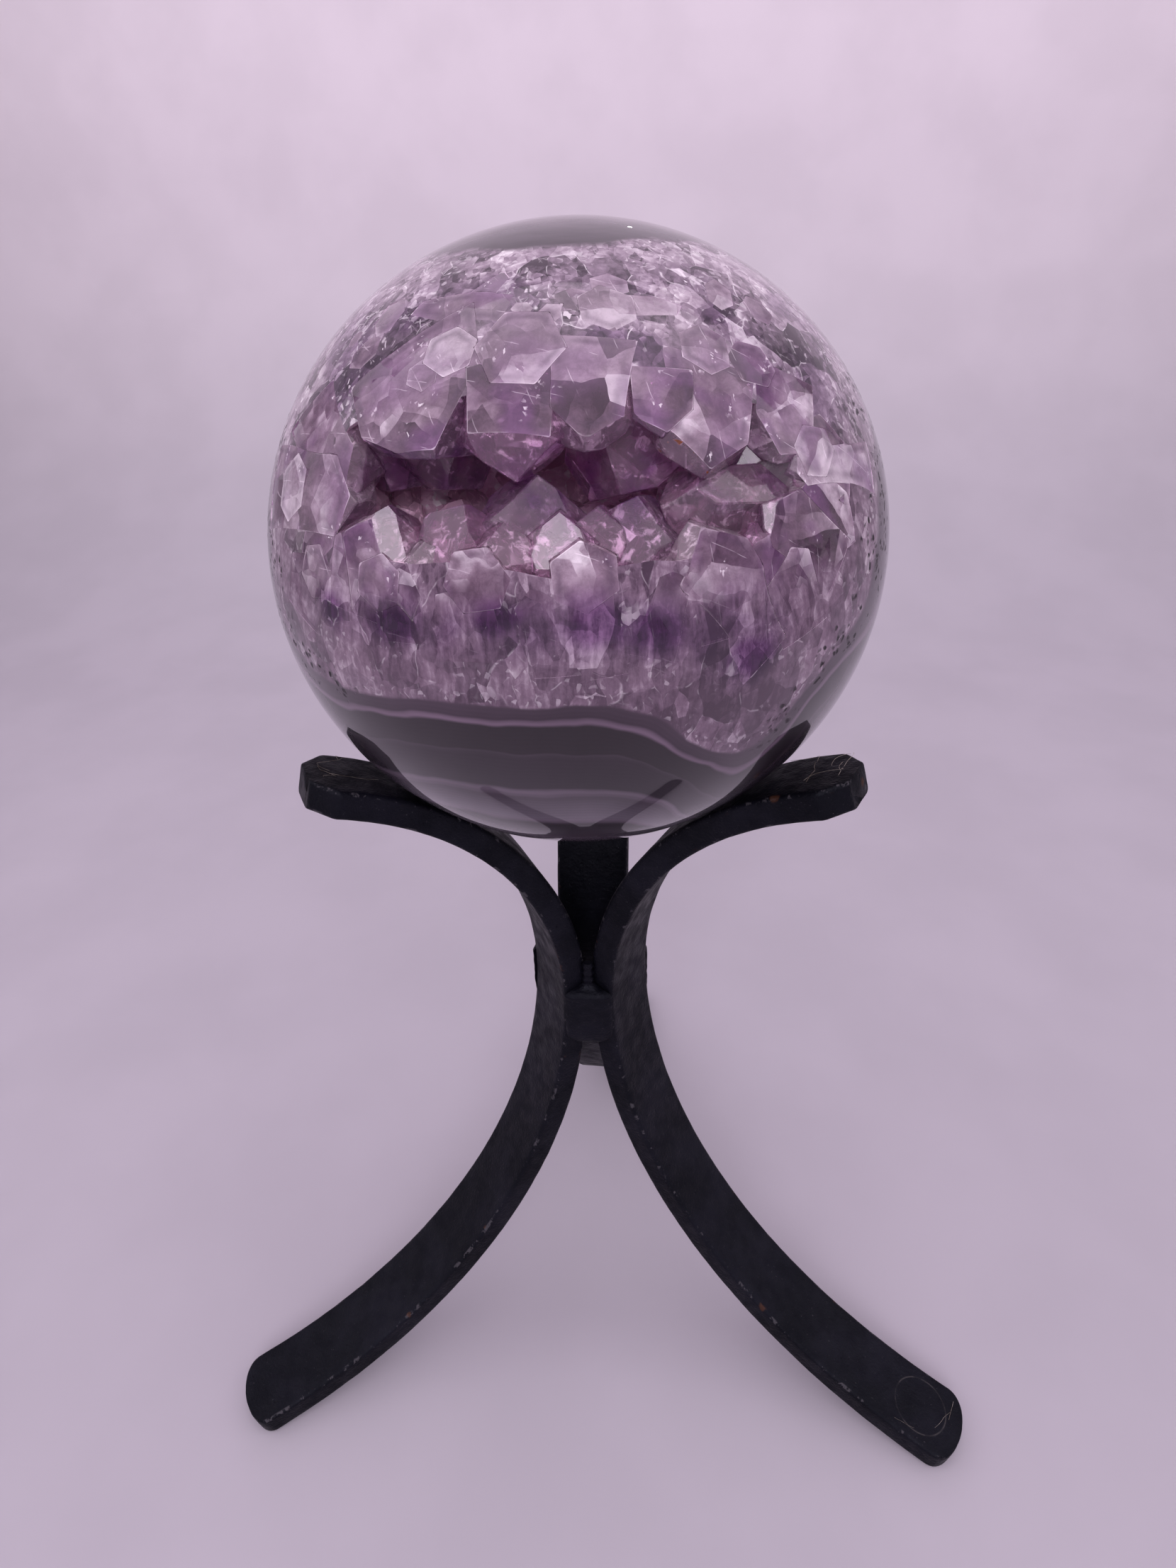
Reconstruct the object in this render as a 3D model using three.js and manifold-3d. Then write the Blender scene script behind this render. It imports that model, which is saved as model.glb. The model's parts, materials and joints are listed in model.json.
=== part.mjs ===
// Polished amethyst sphere with an open crystal hollow, resting on a stand of three bent iron bars.
// Millimetres, +Z up. The viewer's side is -Y. The origin is under the middle of the outline, on the ground.
import * as THREE from 'three';
import Module from 'manifold-3d';
import { mergeVertices } from 'three/addons/utils/BufferGeometryUtils.js';

const wasm = await Module();
wasm.setup();
const { Vector3 } = THREE;
const rad = THREE.MathUtils.degToRad;

// Driving dimensions of the ball
const BALL_RADIUS = 50;
const BALL_FLATTENING = 0.985;      // height over width, ground slightly flat
const BALL_HEIGHT = 185.25;         // middle of the ball above the ground
const BALL_STEPS = [44, 26];        // flat faces round the ball and from top to bottom

// Driving dimensions of the hollow, about the middle of the ball
const HOLLOW_MIDDLE = new Vector3(1.5, -32, 19);
const HOLLOW_HALF = new Vector3(38, 22, 16);
const HOLLOW_TILT = rad(-9);        // the hollow opens a little upwards
const HOLLOW_DETAIL = 3;            // cuts in each edge of the twenty-sided solid that the wall starts from
const LUMP_HEIGHT = 0.07;           // share of the radius by which the wall waves in and out
const GAP = 0.3;                    // between the crust and the stone around it
const CRUST_THICKNESS = 1.8;        // of the lining that the crystals stand on

// Driving dimensions of one bar of the stand
const BAR_WIDTH = 15.2;
const BAR_THICKNESS = 5.3;
const BAR_CORNER = 0.9;             // radius along the long edges
const AXIS_TO_BAR = 4.45;           // from the stand's axis to the nearest face of a bar
const FOOT_STRAIGHT = 7.6;          // length that is left unbent at the foot
const LEG_RADIUS = 95.7;            // of the face that touches the ground
const LEG_TURN = rad(78.5);
const ARM_RADIUS = 63.7;            // of the face that carries the ball
const ARM_TURN = rad(74.2);
const END_ROUNDING = 4.6;           // length of the rounded end of a bar
const BAR_STEPS = 28;               // flat stretches along a bar
const FOOT_SINK = 0.7;              // height filed off under each foot, so that it stands flat
const BARS = { leg_back: rad(87), leg_front_left: rad(210), leg_front_right: rad(331.5) };

// Driving dimensions of the welds between neighbouring bars
const WELD_GAP = 0.15;              // between a weld and the bars beside it
const WELD_LOW = 83;                // height of the lower end
const WELD_STEP = 96;               // the proud pad ends here and the sunk bead goes on upwards
const WELD_HIGH = 102.5;
const WELD_FACE = 12.3;             // from the axis to the face of the pad
const BEAD_FACE = 10.2;             // from the axis to the face of the bead
const WELD_BEVEL = 0.7;             // of the long edges of the pad

const violet = new THREE.MeshStandardMaterial({ color: 0x8a7590, roughness: 0.12, metalness: 0 });
const crystal = new THREE.MeshStandardMaterial({ color: 0xb39cc0, roughness: 0.08, metalness: 0 });
const iron = new THREE.MeshStandardMaterial({ color: 0x1b1a21, roughness: 0.62, metalness: 0.2 });
const weldIron = new THREE.MeshStandardMaterial({ color: 0x202026, roughness: 0.7, metalness: 0.2 });

// Solids
function solid(geometry) {
  const bare = geometry.index ? geometry.toNonIndexed() : geometry.clone();
  for (const name of Object.keys(bare.attributes)) if (name !== 'position') bare.deleteAttribute(name);
  const merged = mergeVertices(bare, 1e-4);
  const vertProperties = new Float32Array(merged.attributes.position.array);
  const triVerts = new Uint32Array(merged.index.array);
  return new wasm.Manifold(new wasm.Mesh({ numProp: 3, vertProperties, triVerts }));
}

function named(name, manifold, material) {
  const { vertProperties, triVerts } = manifold.getMesh();
  const geometry = new THREE.BufferGeometry();
  geometry.setAttribute('position', new THREE.BufferAttribute(vertProperties, 3));
  geometry.setIndex(new THREE.BufferAttribute(triVerts, 1));
  geometry.computeVertexNormals();
  const mesh = new THREE.Mesh(geometry, material);
  mesh.name = name;
  return mesh;
}

// Only the outermost skin of a solid: pockets sealed inside it are filled and loose bits dropped
function outerSkin(manifold) {
  const { vertProperties, triVerts } = manifold.getMesh();
  const parent = Array.from({ length: vertProperties.length / 3 }, (_, i) => i);
  const top = (i) => {
    while (parent[i] !== i) {
      parent[i] = parent[parent[i]];
      i = parent[i];
    }
    return i;
  };
  for (let t = 0; t < triVerts.length; t += 3) {
    parent[top(triVerts[t + 1])] = top(triVerts[t]);
    parent[top(triVerts[t + 2])] = top(triVerts[t]);
  }
  const skins = new Map();
  for (let t = 0; t < triVerts.length; t += 3) {
    const key = top(triVerts[t]);
    if (!skins.has(key)) skins.set(key, []);
    skins.get(key).push(triVerts[t], triVerts[t + 1], triVerts[t + 2]);
  }
  const largest = [...skins.values()].sort((a, b) => b.length - a.length)[0];
  const skin = new THREE.BufferGeometry();
  skin.setAttribute('position', new THREE.BufferAttribute(vertProperties, 3));
  skin.setIndex(largest);
  return solid(skin);
}

// A closed skin over rings of points, all with the same number of points
function loft(rings) {
  const count = rings[0].length;
  const positions = rings.flat().flatMap((p) => [p.x, p.y, p.z]);
  const index = [];
  for (let i = 0; i + 1 < rings.length; i += 1) {
    for (let j = 0; j < count; j += 1) {
      const a = i * count + j;
      const b = i * count + ((j + 1) % count);
      index.push(a, b, b + count, a, b + count, a + count);
    }
  }
  const last = (rings.length - 1) * count;
  for (let j = 1; j + 1 < count; j += 1) {
    index.push(0, j + 1, j);
    index.push(last, last + j, last + j + 1);
  }
  const geometry = new THREE.BufferGeometry();
  geometry.setAttribute('position', new THREE.Float32BufferAttribute(positions, 3));
  geometry.setIndex(index);
  return geometry;
}

// Repeatable numbers from 0 to 1
function dice(seed) {
  let state = seed;
  return () => {
    state = (state * 16807) % 2147483647;
    return state / 2147483647;
  };
}

// The ball
function ballSolid() {
  const geometry = new THREE.SphereGeometry(BALL_RADIUS, ...BALL_STEPS);
  geometry.rotateX(Math.PI / 2);
  geometry.scale(1, 1, BALL_FLATTENING);
  return solid(geometry);
}

// The hollow's wall, moved inwards by a distance
function hollowSolid(inset) {
  const geometry = new THREE.IcosahedronGeometry(1, HOLLOW_DETAIL);
  const place = geometry.attributes.position;
  const p = new Vector3();
  for (let i = 0; i < place.count; i += 1) {
    p.fromBufferAttribute(place, i);
    const lump = Math.sin(5.1 * p.x + 1.3) * Math.cos(6.3 * p.z + 0.4) + 0.6 * Math.sin(9.2 * p.x - 4 * p.y);
    p.multiplyScalar(1 + LUMP_HEIGHT * lump);
    p.multiply(HOLLOW_HALF.clone().subScalar(inset));
    place.setXYZ(i, p.x, p.y, p.z);
  }
  geometry.rotateX(HOLLOW_TILT);
  geometry.translate(...HOLLOW_MIDDLE);
  return solid(geometry);
}

// Large crystals: tip, root and radius, about the middle of the ball. They hang from the roof, stand on
// the floor or lean in from the sides.
const ROOF_CRYSTALS = [
  [[-31, -30.5, 21], [-35.5, -17.5, 27.5], 5],
  [[-26.5, -32, 17], [-23, -25, 26], 6],
  [[-15, -32.5, 17.5], [-17.5, -22.5, 26], 6.5],
  [[-14, -39.5, 23], [-19, -19, 37], 11.5],
  [[-5, -37.5, 19], [-4, -24.5, 30], 8.5],
  [[4, -38.5, 23], [4.5, -27.5, 32.5], 6.5],
  [[8, -35.5, 15], [10.5, -25, 24.5], 8.5],
  [[13.5, -38, 24.5], [12, -27, 32.5], 5],
  [[18, -38, 19.5], [19, -25.5, 29.5], 7.5],
  [[23.5, -27, 15.5], [26, -18, 22], 6],
  [[26.5, -34, 20.5], [29, -21.5, 28], 5.5],
  [[30, -34.5, 17.5], [41.5, -18.5, 18], 4],
];
const FLOOR_CRYSTALS = [
  [[-30.5, -35.5, 12], [-34, -32, 2], 6],
  [[-25, -39, 14.5], [-42, -20.5, 15.5], 6.5],
  [[-21.5, -37.5, 16.5], [-25, -33.5, 2.5], 6.5],
  [[-15.5, -42.5, 13.5], [-17, -40, 3.5], 7],
  [[-12, -36, 15.5], [-13.5, -33, 4], 5.5],
  [[-5.5, -44, 16], [-7, -41.5, 5], 4.5],
  [[-2.5, -34.5, 19], [-5.5, -34, 3.5], 8],
  [[1, -41, 16], [0.5, -38.5, 3], 7],
  [[5.5, -36.5, 15.5], [6, -35, 1.5], 6.5],
  [[10.5, -38.5, 17], [9.5, -35.5, 1.5], 7.5],
  [[13.5, -38, 15.5], [32.5, -25, 12.5], 6.5],
  [[16.5, -42.5, 14.5], [18.5, -39, 1], 9.5],
  [[26.5, -37.5, 13], [38, -28, 8.5], 6.5],
  [[26.5, -39, 11], [30, -35, 0], 6.5],
];
// Small crystals on the wall behind them
const SMALL_CRYSTALS = 15;
const SMALL_RADIUS = [2.4, 4.2];
const SMALL_REACH = [0.62, 0.78];   // how near to the hollow's middle a small tip comes
const SMALL_TURN_BACK = [25, 75];   // degrees from the mouth's plane towards the back

// The form of one crystal: height of its point and width at both ends of its column, over its radius
const POINT_HEIGHT = 0.95;
const ROOT_WIDTH = 1.04;
const SHOULDER_WIDTH = 0.94;
const SHORTEST_COLUMN = 0.35;       // share of the length that is never point

// A six-sided column with a six-sided point, its tip and root given
function crystalSolid(tip, root, radius, turn) {
  const length = tip.distanceTo(root);
  const shoulder = Math.max(length - radius * POINT_HEIGHT, length * SHORTEST_COLUMN);
  const profile = [[0, 0], [radius * ROOT_WIDTH, 0], [radius * SHOULDER_WIDTH, shoulder], [0, length]];
  const geometry = new THREE.LatheGeometry(profile.map(([x, y]) => new THREE.Vector2(x, y)), 6);
  geometry.rotateY(turn);
  const along = tip.clone().sub(root).normalize();
  geometry.applyQuaternion(new THREE.Quaternion().setFromUnitVectors(new Vector3(0, 1, 0), along));
  geometry.translate(root.x, root.y, root.z);
  return solid(geometry);
}

// The crust: a lining of the hollow with every crystal grown into it, cut flush with the ball's surface
function crustSolid(ball) {
  const next = dice(4211);
  const wall = hollowSolid(GAP);
  let crystals = wall.subtract(hollowSolid(GAP + CRUST_THICKNESS));
  for (const [tip, root, radius] of [...ROOF_CRYSTALS, ...FLOOR_CRYSTALS]) {
    crystals = crystals.add(crystalSolid(new Vector3(...tip), new Vector3(...root), radius, next() * Math.PI / 3));
  }
  for (let i = 0; i < SMALL_CRYSTALS; i += 1) {
    const round = (i + 0.5 * next()) / SMALL_CRYSTALS * 2 * Math.PI;
    const back = rad(THREE.MathUtils.lerp(...SMALL_TURN_BACK, next()));
    const outward = new Vector3(Math.cos(round) * Math.cos(back), Math.sin(back), Math.sin(round) * Math.cos(back));
    const reach = THREE.MathUtils.lerp(...SMALL_REACH, next());
    const root = outward.clone().multiply(HOLLOW_HALF).add(HOLLOW_MIDDLE);
    const tip = outward.clone().multiplyScalar(reach).multiply(HOLLOW_HALF).add(HOLLOW_MIDDLE);
    const radius = THREE.MathUtils.lerp(...SMALL_RADIUS, next());
    crystals = crystals.add(crystalSolid(tip, root, radius, next() * Math.PI / 3));
  }
  return outerSkin(crystals.intersect(wall).intersect(ball));
}

// The bars: the face towards the axis runs straight, round the leg's arc and round the arm's arc
function barPoint(distance) {
  const legEnd = FOOT_STRAIGHT + LEG_RADIUS * LEG_TURN;
  const legTurnLeft = distance < legEnd ? Math.min(LEG_TURN, (legEnd - distance) / LEG_RADIUS) : 0;
  const armTurn = Math.max(0, distance - legEnd) / ARM_RADIUS;
  const straight = Math.max(0, FOOT_STRAIGHT - distance);
  const waist = LEG_RADIUS * Math.sin(LEG_TURN) + FOOT_STRAIGHT * Math.cos(LEG_TURN) - FOOT_SINK;
  const turn = armTurn - legTurnLeft;
  const out = LEG_RADIUS * (1 - Math.cos(legTurnLeft)) + ARM_RADIUS * (1 - Math.cos(armTurn));
  const up = ARM_RADIUS * Math.sin(armTurn) - LEG_RADIUS * Math.sin(legTurnLeft);
  return {
    out: AXIS_TO_BAR + out + straight * Math.sin(LEG_TURN),
    up: waist + up - straight * Math.cos(LEG_TURN),
    turn,
  };
}

const BAR_LENGTH = FOOT_STRAIGHT + LEG_RADIUS * LEG_TURN + ARM_RADIUS * ARM_TURN;

// Points round the bar's section: across the bar, and outwards from the face towards the axis
function barSection(halfWidth) {
  const corner = Math.min(BAR_CORNER, halfWidth * 0.8);
  const points = [];
  const corners = [[1, 1, 0], [-1, 1, 90], [-1, -1, 180], [1, -1, 270]];
  for (const [across, thick, start] of corners) {
    for (const angle of [start, start + 45, start + 90]) {
      points.push([
        across * (halfWidth - corner) + corner * Math.cos(rad(angle)),
        BAR_THICKNESS / 2 + thick * (BAR_THICKNESS / 2 - BAR_CORNER) + BAR_CORNER * Math.sin(rad(angle)),
      ]);
    }
  }
  return points;
}

function barSolid(azimuth) {
  const stations = [];
  const endSteps = [14, 32, 50, 70].map(rad);
  const ends = endSteps.map((a) => [END_ROUNDING * (1 - Math.cos(a) ** 0.9), Math.sin(a) ** 0.9]);
  for (const [inward, share] of ends) stations.push([inward, share]);
  for (let i = 0; i <= BAR_STEPS; i += 1) {
    stations.push([END_ROUNDING + (BAR_LENGTH - 2 * END_ROUNDING) * i / BAR_STEPS, 1]);
  }
  for (const [inward, share] of ends.reverse()) stations.push([BAR_LENGTH - inward, share]);
  const outward = new Vector3(Math.cos(azimuth), Math.sin(azimuth), 0);
  const sideways = new Vector3(-Math.sin(azimuth), Math.cos(azimuth), 0);
  const rings = stations.map(([distance, share]) => {
    const { out, up, turn } = barPoint(distance);
    return barSection(BAR_WIDTH / 2 * share).map(([across, thick]) => new Vector3()
      .addScaledVector(outward, out + thick * Math.cos(turn))
      .addScaledVector(sideways, -across)
      .add(new Vector3(0, 0, up - thick * Math.sin(turn))));
  });
  const under = new THREE.BoxGeometry(400, 400, 20);
  under.translate(0, 0, -10);
  return solid(loft(rings)).subtract(solid(under));
}

// The welds: each fills the groove between two bars, with a proud pad below and a sunk bead above
function weldSolid(azimuth, halfAngle) {
  const clear = BAR_WIDTH / 2 + WELD_GAP;
  const inner = clear / Math.sin(halfAngle) + 0.3;
  const side = (face) => (face * Math.sin(halfAngle) - clear) / Math.cos(halfAngle);
  const rows = [
    [WELD_LOW - 0.6, WELD_FACE - 1.2], [WELD_LOW + 0.8, WELD_FACE - 0.2], [WELD_LOW + 4, WELD_FACE],
    [WELD_STEP - 2, WELD_FACE], [WELD_STEP, WELD_FACE - 0.3], [WELD_STEP + 0.6, BEAD_FACE + 0.2],
    [WELD_STEP + 2, BEAD_FACE], [WELD_STEP + 3, BEAD_FACE + 0.3], [WELD_STEP + 4.4, BEAD_FACE - 0.1],
    [WELD_HIGH, BEAD_FACE - 0.5],
  ];
  const place = new THREE.Matrix4().makeRotationZ(azimuth);
  const rings = rows.map(([height, face]) => {
    const half = side(face - WELD_BEVEL);
    const narrow = side(inner) * 0.9;
    const outline = [
      [inner, narrow], [inner, -narrow], [face - WELD_BEVEL, -half], [face, -half * 0.8],
      [face + 0.25, 0], [face, half * 0.8], [face - WELD_BEVEL, half],
    ];
    return outline.map(([x, y]) => new Vector3(x, y, height).applyMatrix4(place));
  });
  return solid(loft(rings));
}

const group = new THREE.Group();
const ball = ballSolid();
const stone = named('amethyst_sphere', ball.subtract(hollowSolid(0)), violet);
const crust = named('crystal_crust', crustSolid(ball), crystal);
for (const mesh of [stone, crust]) mesh.position.z = BALL_HEIGHT;
group.add(stone, crust);
for (const [name, azimuth] of Object.entries(BARS)) group.add(named(name, barSolid(azimuth), iron));
const between = (a, b) => [(a + b) / 2, Math.abs(a - b) / 2];
const { leg_back: back, leg_front_left: left, leg_front_right: right } = BARS;
const welds = {
  weld_front: between(left, right),
  weld_left: between(back, left),
  weld_right: between(right - 2 * Math.PI, back),
};
for (const [name, [azimuth, half]] of Object.entries(welds)) {
  group.add(named(name, weldSolid(azimuth, half), weldIron));
}

// The origin goes under the middle of the outline
const outline = new THREE.Box3().setFromObject(group);
const middle = outline.getCenter(new Vector3());
for (const mesh of group.children) {
  mesh.position.x -= middle.x;
  mesh.position.y -= middle.y;
}

export default group;
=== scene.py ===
import itertools
import json
import math
import random

import bmesh
import bpy
import numpy as np
from mathutils import Matrix, Quaternion, Vector, noise

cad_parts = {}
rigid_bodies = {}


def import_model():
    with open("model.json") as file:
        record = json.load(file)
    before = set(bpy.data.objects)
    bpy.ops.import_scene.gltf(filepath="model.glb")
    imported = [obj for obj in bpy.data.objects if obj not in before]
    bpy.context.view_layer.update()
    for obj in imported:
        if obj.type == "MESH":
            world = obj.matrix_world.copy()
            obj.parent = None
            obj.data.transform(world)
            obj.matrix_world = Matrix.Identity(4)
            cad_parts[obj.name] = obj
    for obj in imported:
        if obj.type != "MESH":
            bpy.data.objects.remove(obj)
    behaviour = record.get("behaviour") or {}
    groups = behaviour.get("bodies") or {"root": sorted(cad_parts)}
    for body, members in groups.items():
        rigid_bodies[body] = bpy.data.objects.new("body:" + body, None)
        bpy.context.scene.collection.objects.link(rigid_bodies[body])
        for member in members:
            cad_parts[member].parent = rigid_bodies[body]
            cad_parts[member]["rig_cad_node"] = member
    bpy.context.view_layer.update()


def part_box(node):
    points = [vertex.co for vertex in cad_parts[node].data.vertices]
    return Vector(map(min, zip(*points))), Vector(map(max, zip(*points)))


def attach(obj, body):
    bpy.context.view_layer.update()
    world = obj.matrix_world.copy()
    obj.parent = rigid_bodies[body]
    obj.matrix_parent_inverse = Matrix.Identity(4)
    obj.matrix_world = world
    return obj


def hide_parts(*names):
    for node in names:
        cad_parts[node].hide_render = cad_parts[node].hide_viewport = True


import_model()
MM = 0.001

# The ball's middle and half sizes, and the stand's axis, from the frame
BALL_LOW, BALL_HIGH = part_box("amethyst_sphere")
BALL_MIDDLE = (BALL_LOW + BALL_HIGH) / 2
BALL_HALF = (BALL_HIGH - BALL_LOW) / 2 / MM
STAND_AXIS = Vector((BALL_MIDDLE.x, BALL_MIDDLE.y, 0))

# The picture's frame and the camera that took it
PHOTO_SIZE = (1659, 2212)
FOCAL_PIXELS = 1276.4
LOOK_PIXEL = (797.8, 1028.1)
EYE = Vector((11.21, -150.28, 43.06))
YAW, PITCH, ROLL = -0.0961, 0.475, -0.0428
SENSOR = 36

# The ball's skin and the air inside the hollow
SKIN_CUTS = 7
AIR_CUTS = 6
AIR_MIDDLE = Vector((1.5, -36, 19.2))
AIR_HALF = Vector((34, 23, 11.4))
AIR_TURN = Matrix.Rotation(math.radians(-9), 3, "X")
AIR_LUMP = 0.07
# How far a crystal stays off its neighbour, and how far it reaches into the wall round its pocket
CRYSTAL_GAP = 0.03
ROOTED = 0.06
# Crystals end a hair inside the skin, and a face out at this share of the radius is skin
SUNK = 0.9996
SKIN_REACH = 0.9993
# A number this small counts as nothing, and a corner this near a plane is on its face
TINY = 1e-6
ON_PLANE = 2e-4
# The golden section as a share of a width, and as an angle in half turns
GOLDEN_SHARE = 0.618
GOLDEN_TURN = 3 - math.sqrt(5)

# The crystals grew away from a line along the middle of the hollow
GROWTH_HALF = 24.0
GROWTH_HEIGHT = 18.0
GROWTH_REACH = 14.0

# Large crystals: tip, root, radius and kind. They hang from the roof, stand on the floor or lean in.
ROOF_CRYSTALS = [
    ((-25, -37.3, 18.2), (-33, -23.5, 27), 5.5, "smoky"),
    ((-22, -31, 17), (-21, -20, 27), 7, "violet"),
    ((-14, -33, 17.5), (-16, -20, 27), 6.5, "violet"),
    ((-13.8, -40.6, 23), (-17.8, -28.8, 34), 10.3, "tipped"),
    ((-4.2, -41, 20.2), (-4, -33.5, 31), 7.5, "violet"),
    ((4.3, -42, 23.6), (5.2, -33.4, 34.5), 5.6, "smoky"),
    ((8.5, -37, 17.3), (10, -24, 26), 9, "violet"),
    ((13.3, -40.3, 24.5), (13.1, -35.5, 31.5), 4.4, "tipped"),
    ((17.9, -40.3, 19.8), (18.9, -31.2, 31), 6.6, "rusty"),
    ((23.5, -33, 17), (26, -18, 25), 5.5, "violet"),
    ((27.8, -34.8, 20.3), (28.7, -27.3, 30), 5.5, "milky"),
    ((29.3, -34.6, 19.3), (42, -20.3, 16.5), 3.6, "clear"),
]
FLOOR_CRYSTALS = [
    ((-30.5, -36.5, 11.5), (-33.5, -32, 1), 6, "violet"),
    ((-24.8, -38.8, 17.3), (-41.5, -21.5, 15.5), 6.5, "milky"),
    ((-20.3, -40.8, 17.2), (-23.5, -36, 2.5), 6.5, "smoky"),
    ((-15.5, -43, 13.5), (-17, -40, 2.5), 6, "milky"),
    ((-10.5, -42, 17.3), (-12, -37, 3), 7, "violet"),
    ((-5.3, -44.7, 16), (-6.5, -41.5, 3), 4.5, "smoky"),
    ((-1.8, -39, 20), (-5, -34, 3.5), 8.5, "tipped"),
    ((1.4, -43.3, 16.8), (0.8, -39, 3), 6.5, "violet"),
    ((6, -41.5, 17), (6, -36.5, 1.5), 6, "violet"),
    ((10.5, -41, 18), (9.5, -36, 1.5), 7, "tipped"),
    ((13.5, -39.8, 16), (32.5, -26, 12.8), 6.5, "smoky"),
    ((16.5, -43.3, 15), (24, -37.8, -2), 6.5, "milky"),
    ((25.5, -38.5, 16), (34.5, -31, 6), 5.5, "violet"),
    ((26.5, -39, 11), (30, -35, 0), 6, "smoky"),
]
# Crystals that only show where the polish cut them flush: a point on the skin, radius, kind and lean
FLUSH_CRYSTALS = [
    ((-3.4, -35.4, 34.7), 6.0, "milky"),
    ((-12.1, -33.9, 34.2), 4.0, "clear"),
    ((-15.4, -34.9, 31.8), 2.8, "clear"),
    ((18.6, -31.7, 33.4), 4.2, "violet"),
    ((24.2, -29.8, 31.2), 4.0, "smoky"),
    ((-8.5, -48.3, 10.0), 4.6, "smoky"),
    ((4.5, -49.0, 10.5), 4.6, "milky"),
    ((-21.5, -44.0, 8.5), 4.2, "smoky"),
    ((-32.0, -37.5, 8.0), 4.2, "milky"),
    ((-36.5, -29.5, 17.5), 5.0, "clear"),
    ((33.0, -31.0, 21.0), 4.0, "clear", Vector((0.9, 0.3, 0.5))),
    ((7.0, -31.0, 38.5), 4.2, "milky"),
]
FLUSH_DEPTH = 9
SCATTERED = 14
SCATTERED_RADIUS = (1.6, 3.2)
SCATTERED_LOW, SCATTERED_RISE, SCATTERED_LEAN = 33, 8.5, 0.9
BORDER_CRYSTALS = 14
BORDER_RADIUS = (3.4, 5.4)
BORDER_START, BORDER_TURN = 170, 200
LINING_CRYSTALS = 150
LINING_RADIUS = (1.2, 3.4)
LINING_REACH = 48
LINING_FRONT, LINING_ROOT, LINING_LEAN = -0.25, 3, 0.5

# How pale each kind of crystal is where it is cut flush, and the depth told of crystals never cut
PALENESS = dict(smoky=0.45, violet=0.15, tipped=0.5, milky=0.7, rusty=0.4, clear=1.3, lining=0.3)
KINDS = list(PALENESS)
WALLS = ["skin", "hollow", "pocket"]
DEEP_INSIDE = 9.0

# One bar of the stand, from its foot to the tip of its arm
BAR_WIDTH = 15.2
BAR_THICKNESS = 5.3
BAR_CORNER = 0.9
AXIS_TO_BAR = 4.45
FOOT_STRAIGHT = 7.6
LEG_RADIUS = 95.7
LEG_TURN = math.radians(78.5)
ARM_RADIUS = 63.7
ARM_TURN = math.radians(74.2)
END_ROUNDING = 4.6
# How far from the tip, and the share of the width there
ARM_END = [(4.3, 0.99), (3.8, 0.96), (3.2, 0.89), (2.4, 0.79), (1.6, 0.69), (0.8, 0.59)]
ARM_END += [(0.3, 0.53), (0.08, 0.49), (0, 0.45)]
FOOT_SINK = 0.7
FOOT_CURVE = 0.9
# The forged surface: size and depth of its wide and its fine dents, and how far it is sunk
WIDE_DENTS, FINE_DENTS, DENT_SINK = (4.5, 0.05), (1.6, 0.03), 0.085
BAR_LENGTH = FOOT_STRAIGHT + LEG_RADIUS * LEG_TURN + ARM_RADIUS * ARM_TURN
BAR_STEPS = 330
BARS = {"leg_back": 87, "leg_front_left": 210, "leg_front_right": 331.5}

# A ring mark on the right foot: how far along the bar, and its radius
RING_PLACE = 9.0
RING_RADIUS = 5.4

# Hairs on the front bars: which bar, how far along it, on which face, and how many
HAIR_RADIUS, HAIR_STEP = 0.032, 0.32
HAIR_SPREAD, HAIR_ACROSS, HAIR_EDGE = 3, 5.5, 6.4
HAIR_PLACES = [
    ("leg_front_left", BAR_LENGTH - 4, 0, 6),
    ("leg_front_right", BAR_LENGTH - 5, 0, 6),
    ("leg_front_right", 6, BAR_THICKNESS, 3),
]

# The welds between the bars
WELD_GAP = 0.15
WELD_LOW, WELD_STEP, WELD_HIGH = 83, 96, 102.5
WELD_FACE, BEAD_FACE, WELD_BEVEL = 12.3, 10.2, 0.7
WELD_UNDER, WELD_ROWS = 0.6, 80
RIPPLE_HEIGHT, RIPPLE_TURN = 0.06, 3.6
WELDS = {"weld_front": (270.75, 60.75), "weld_left": (148.5, 61.5), "weld_right": (29.25, 57.75)}


# Meshes
def linked(name, data):
    made = bpy.data.objects.new(name, data)
    bpy.context.scene.collection.objects.link(made)
    return made


def mesh_object(name, mesh, place=BALL_MIDDLE):
    made = linked(name, mesh)
    made.location = place
    return made


def mesh_of(name, corners, faces):
    mesh = bpy.data.meshes.new(name)
    mesh.from_pydata([tuple(c) for c in corners], [], faces)
    mesh.update()
    return mesh


def tube_faces(rings, count, first=0, capped=True):
    """Faces between rings of that many corners, and one at each end."""
    faces = []
    for i in range(rings - 1):
        for j in range(count):
            a, b = first + i * count + j, first + i * count + (j + 1) % count
            faces.append((a, b, b + count, a + count))
    if capped:
        last = first + (rings - 1) * count
        faces.append(tuple(reversed(range(first, first + count))))
        faces.append(tuple(range(last, last + count)))
    return faces


def round_form(name, cuts, moved):
    """A sphere of small triangles, each corner of it moved from its place on the unit sphere."""
    shape = bmesh.new()
    bmesh.ops.create_icosphere(shape, subdivisions=cuts, radius=1)
    for corner in shape.verts:
        corner.co = moved(corner.co)
    mesh = bpy.data.meshes.new(name)
    shape.to_mesh(mesh)
    shape.free()
    return mesh_object(name, mesh)


def to_metres(made):
    made.data.transform(Matrix.Scale(MM, 4))
    made.data.update()


def mark(made, wall):
    """The faces that this shape leaves where it cuts the ball are that kind of wall."""
    made.data.polygons.foreach_set("material_index", [WALLS.index(wall)] * len(made.data.polygons))


def give(mesh, name, domain, values):
    """Puts a number on each point or face, for the materials to read."""
    mesh.attributes.new(name, "FLOAT", domain).data.foreach_set("value", values)


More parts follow.
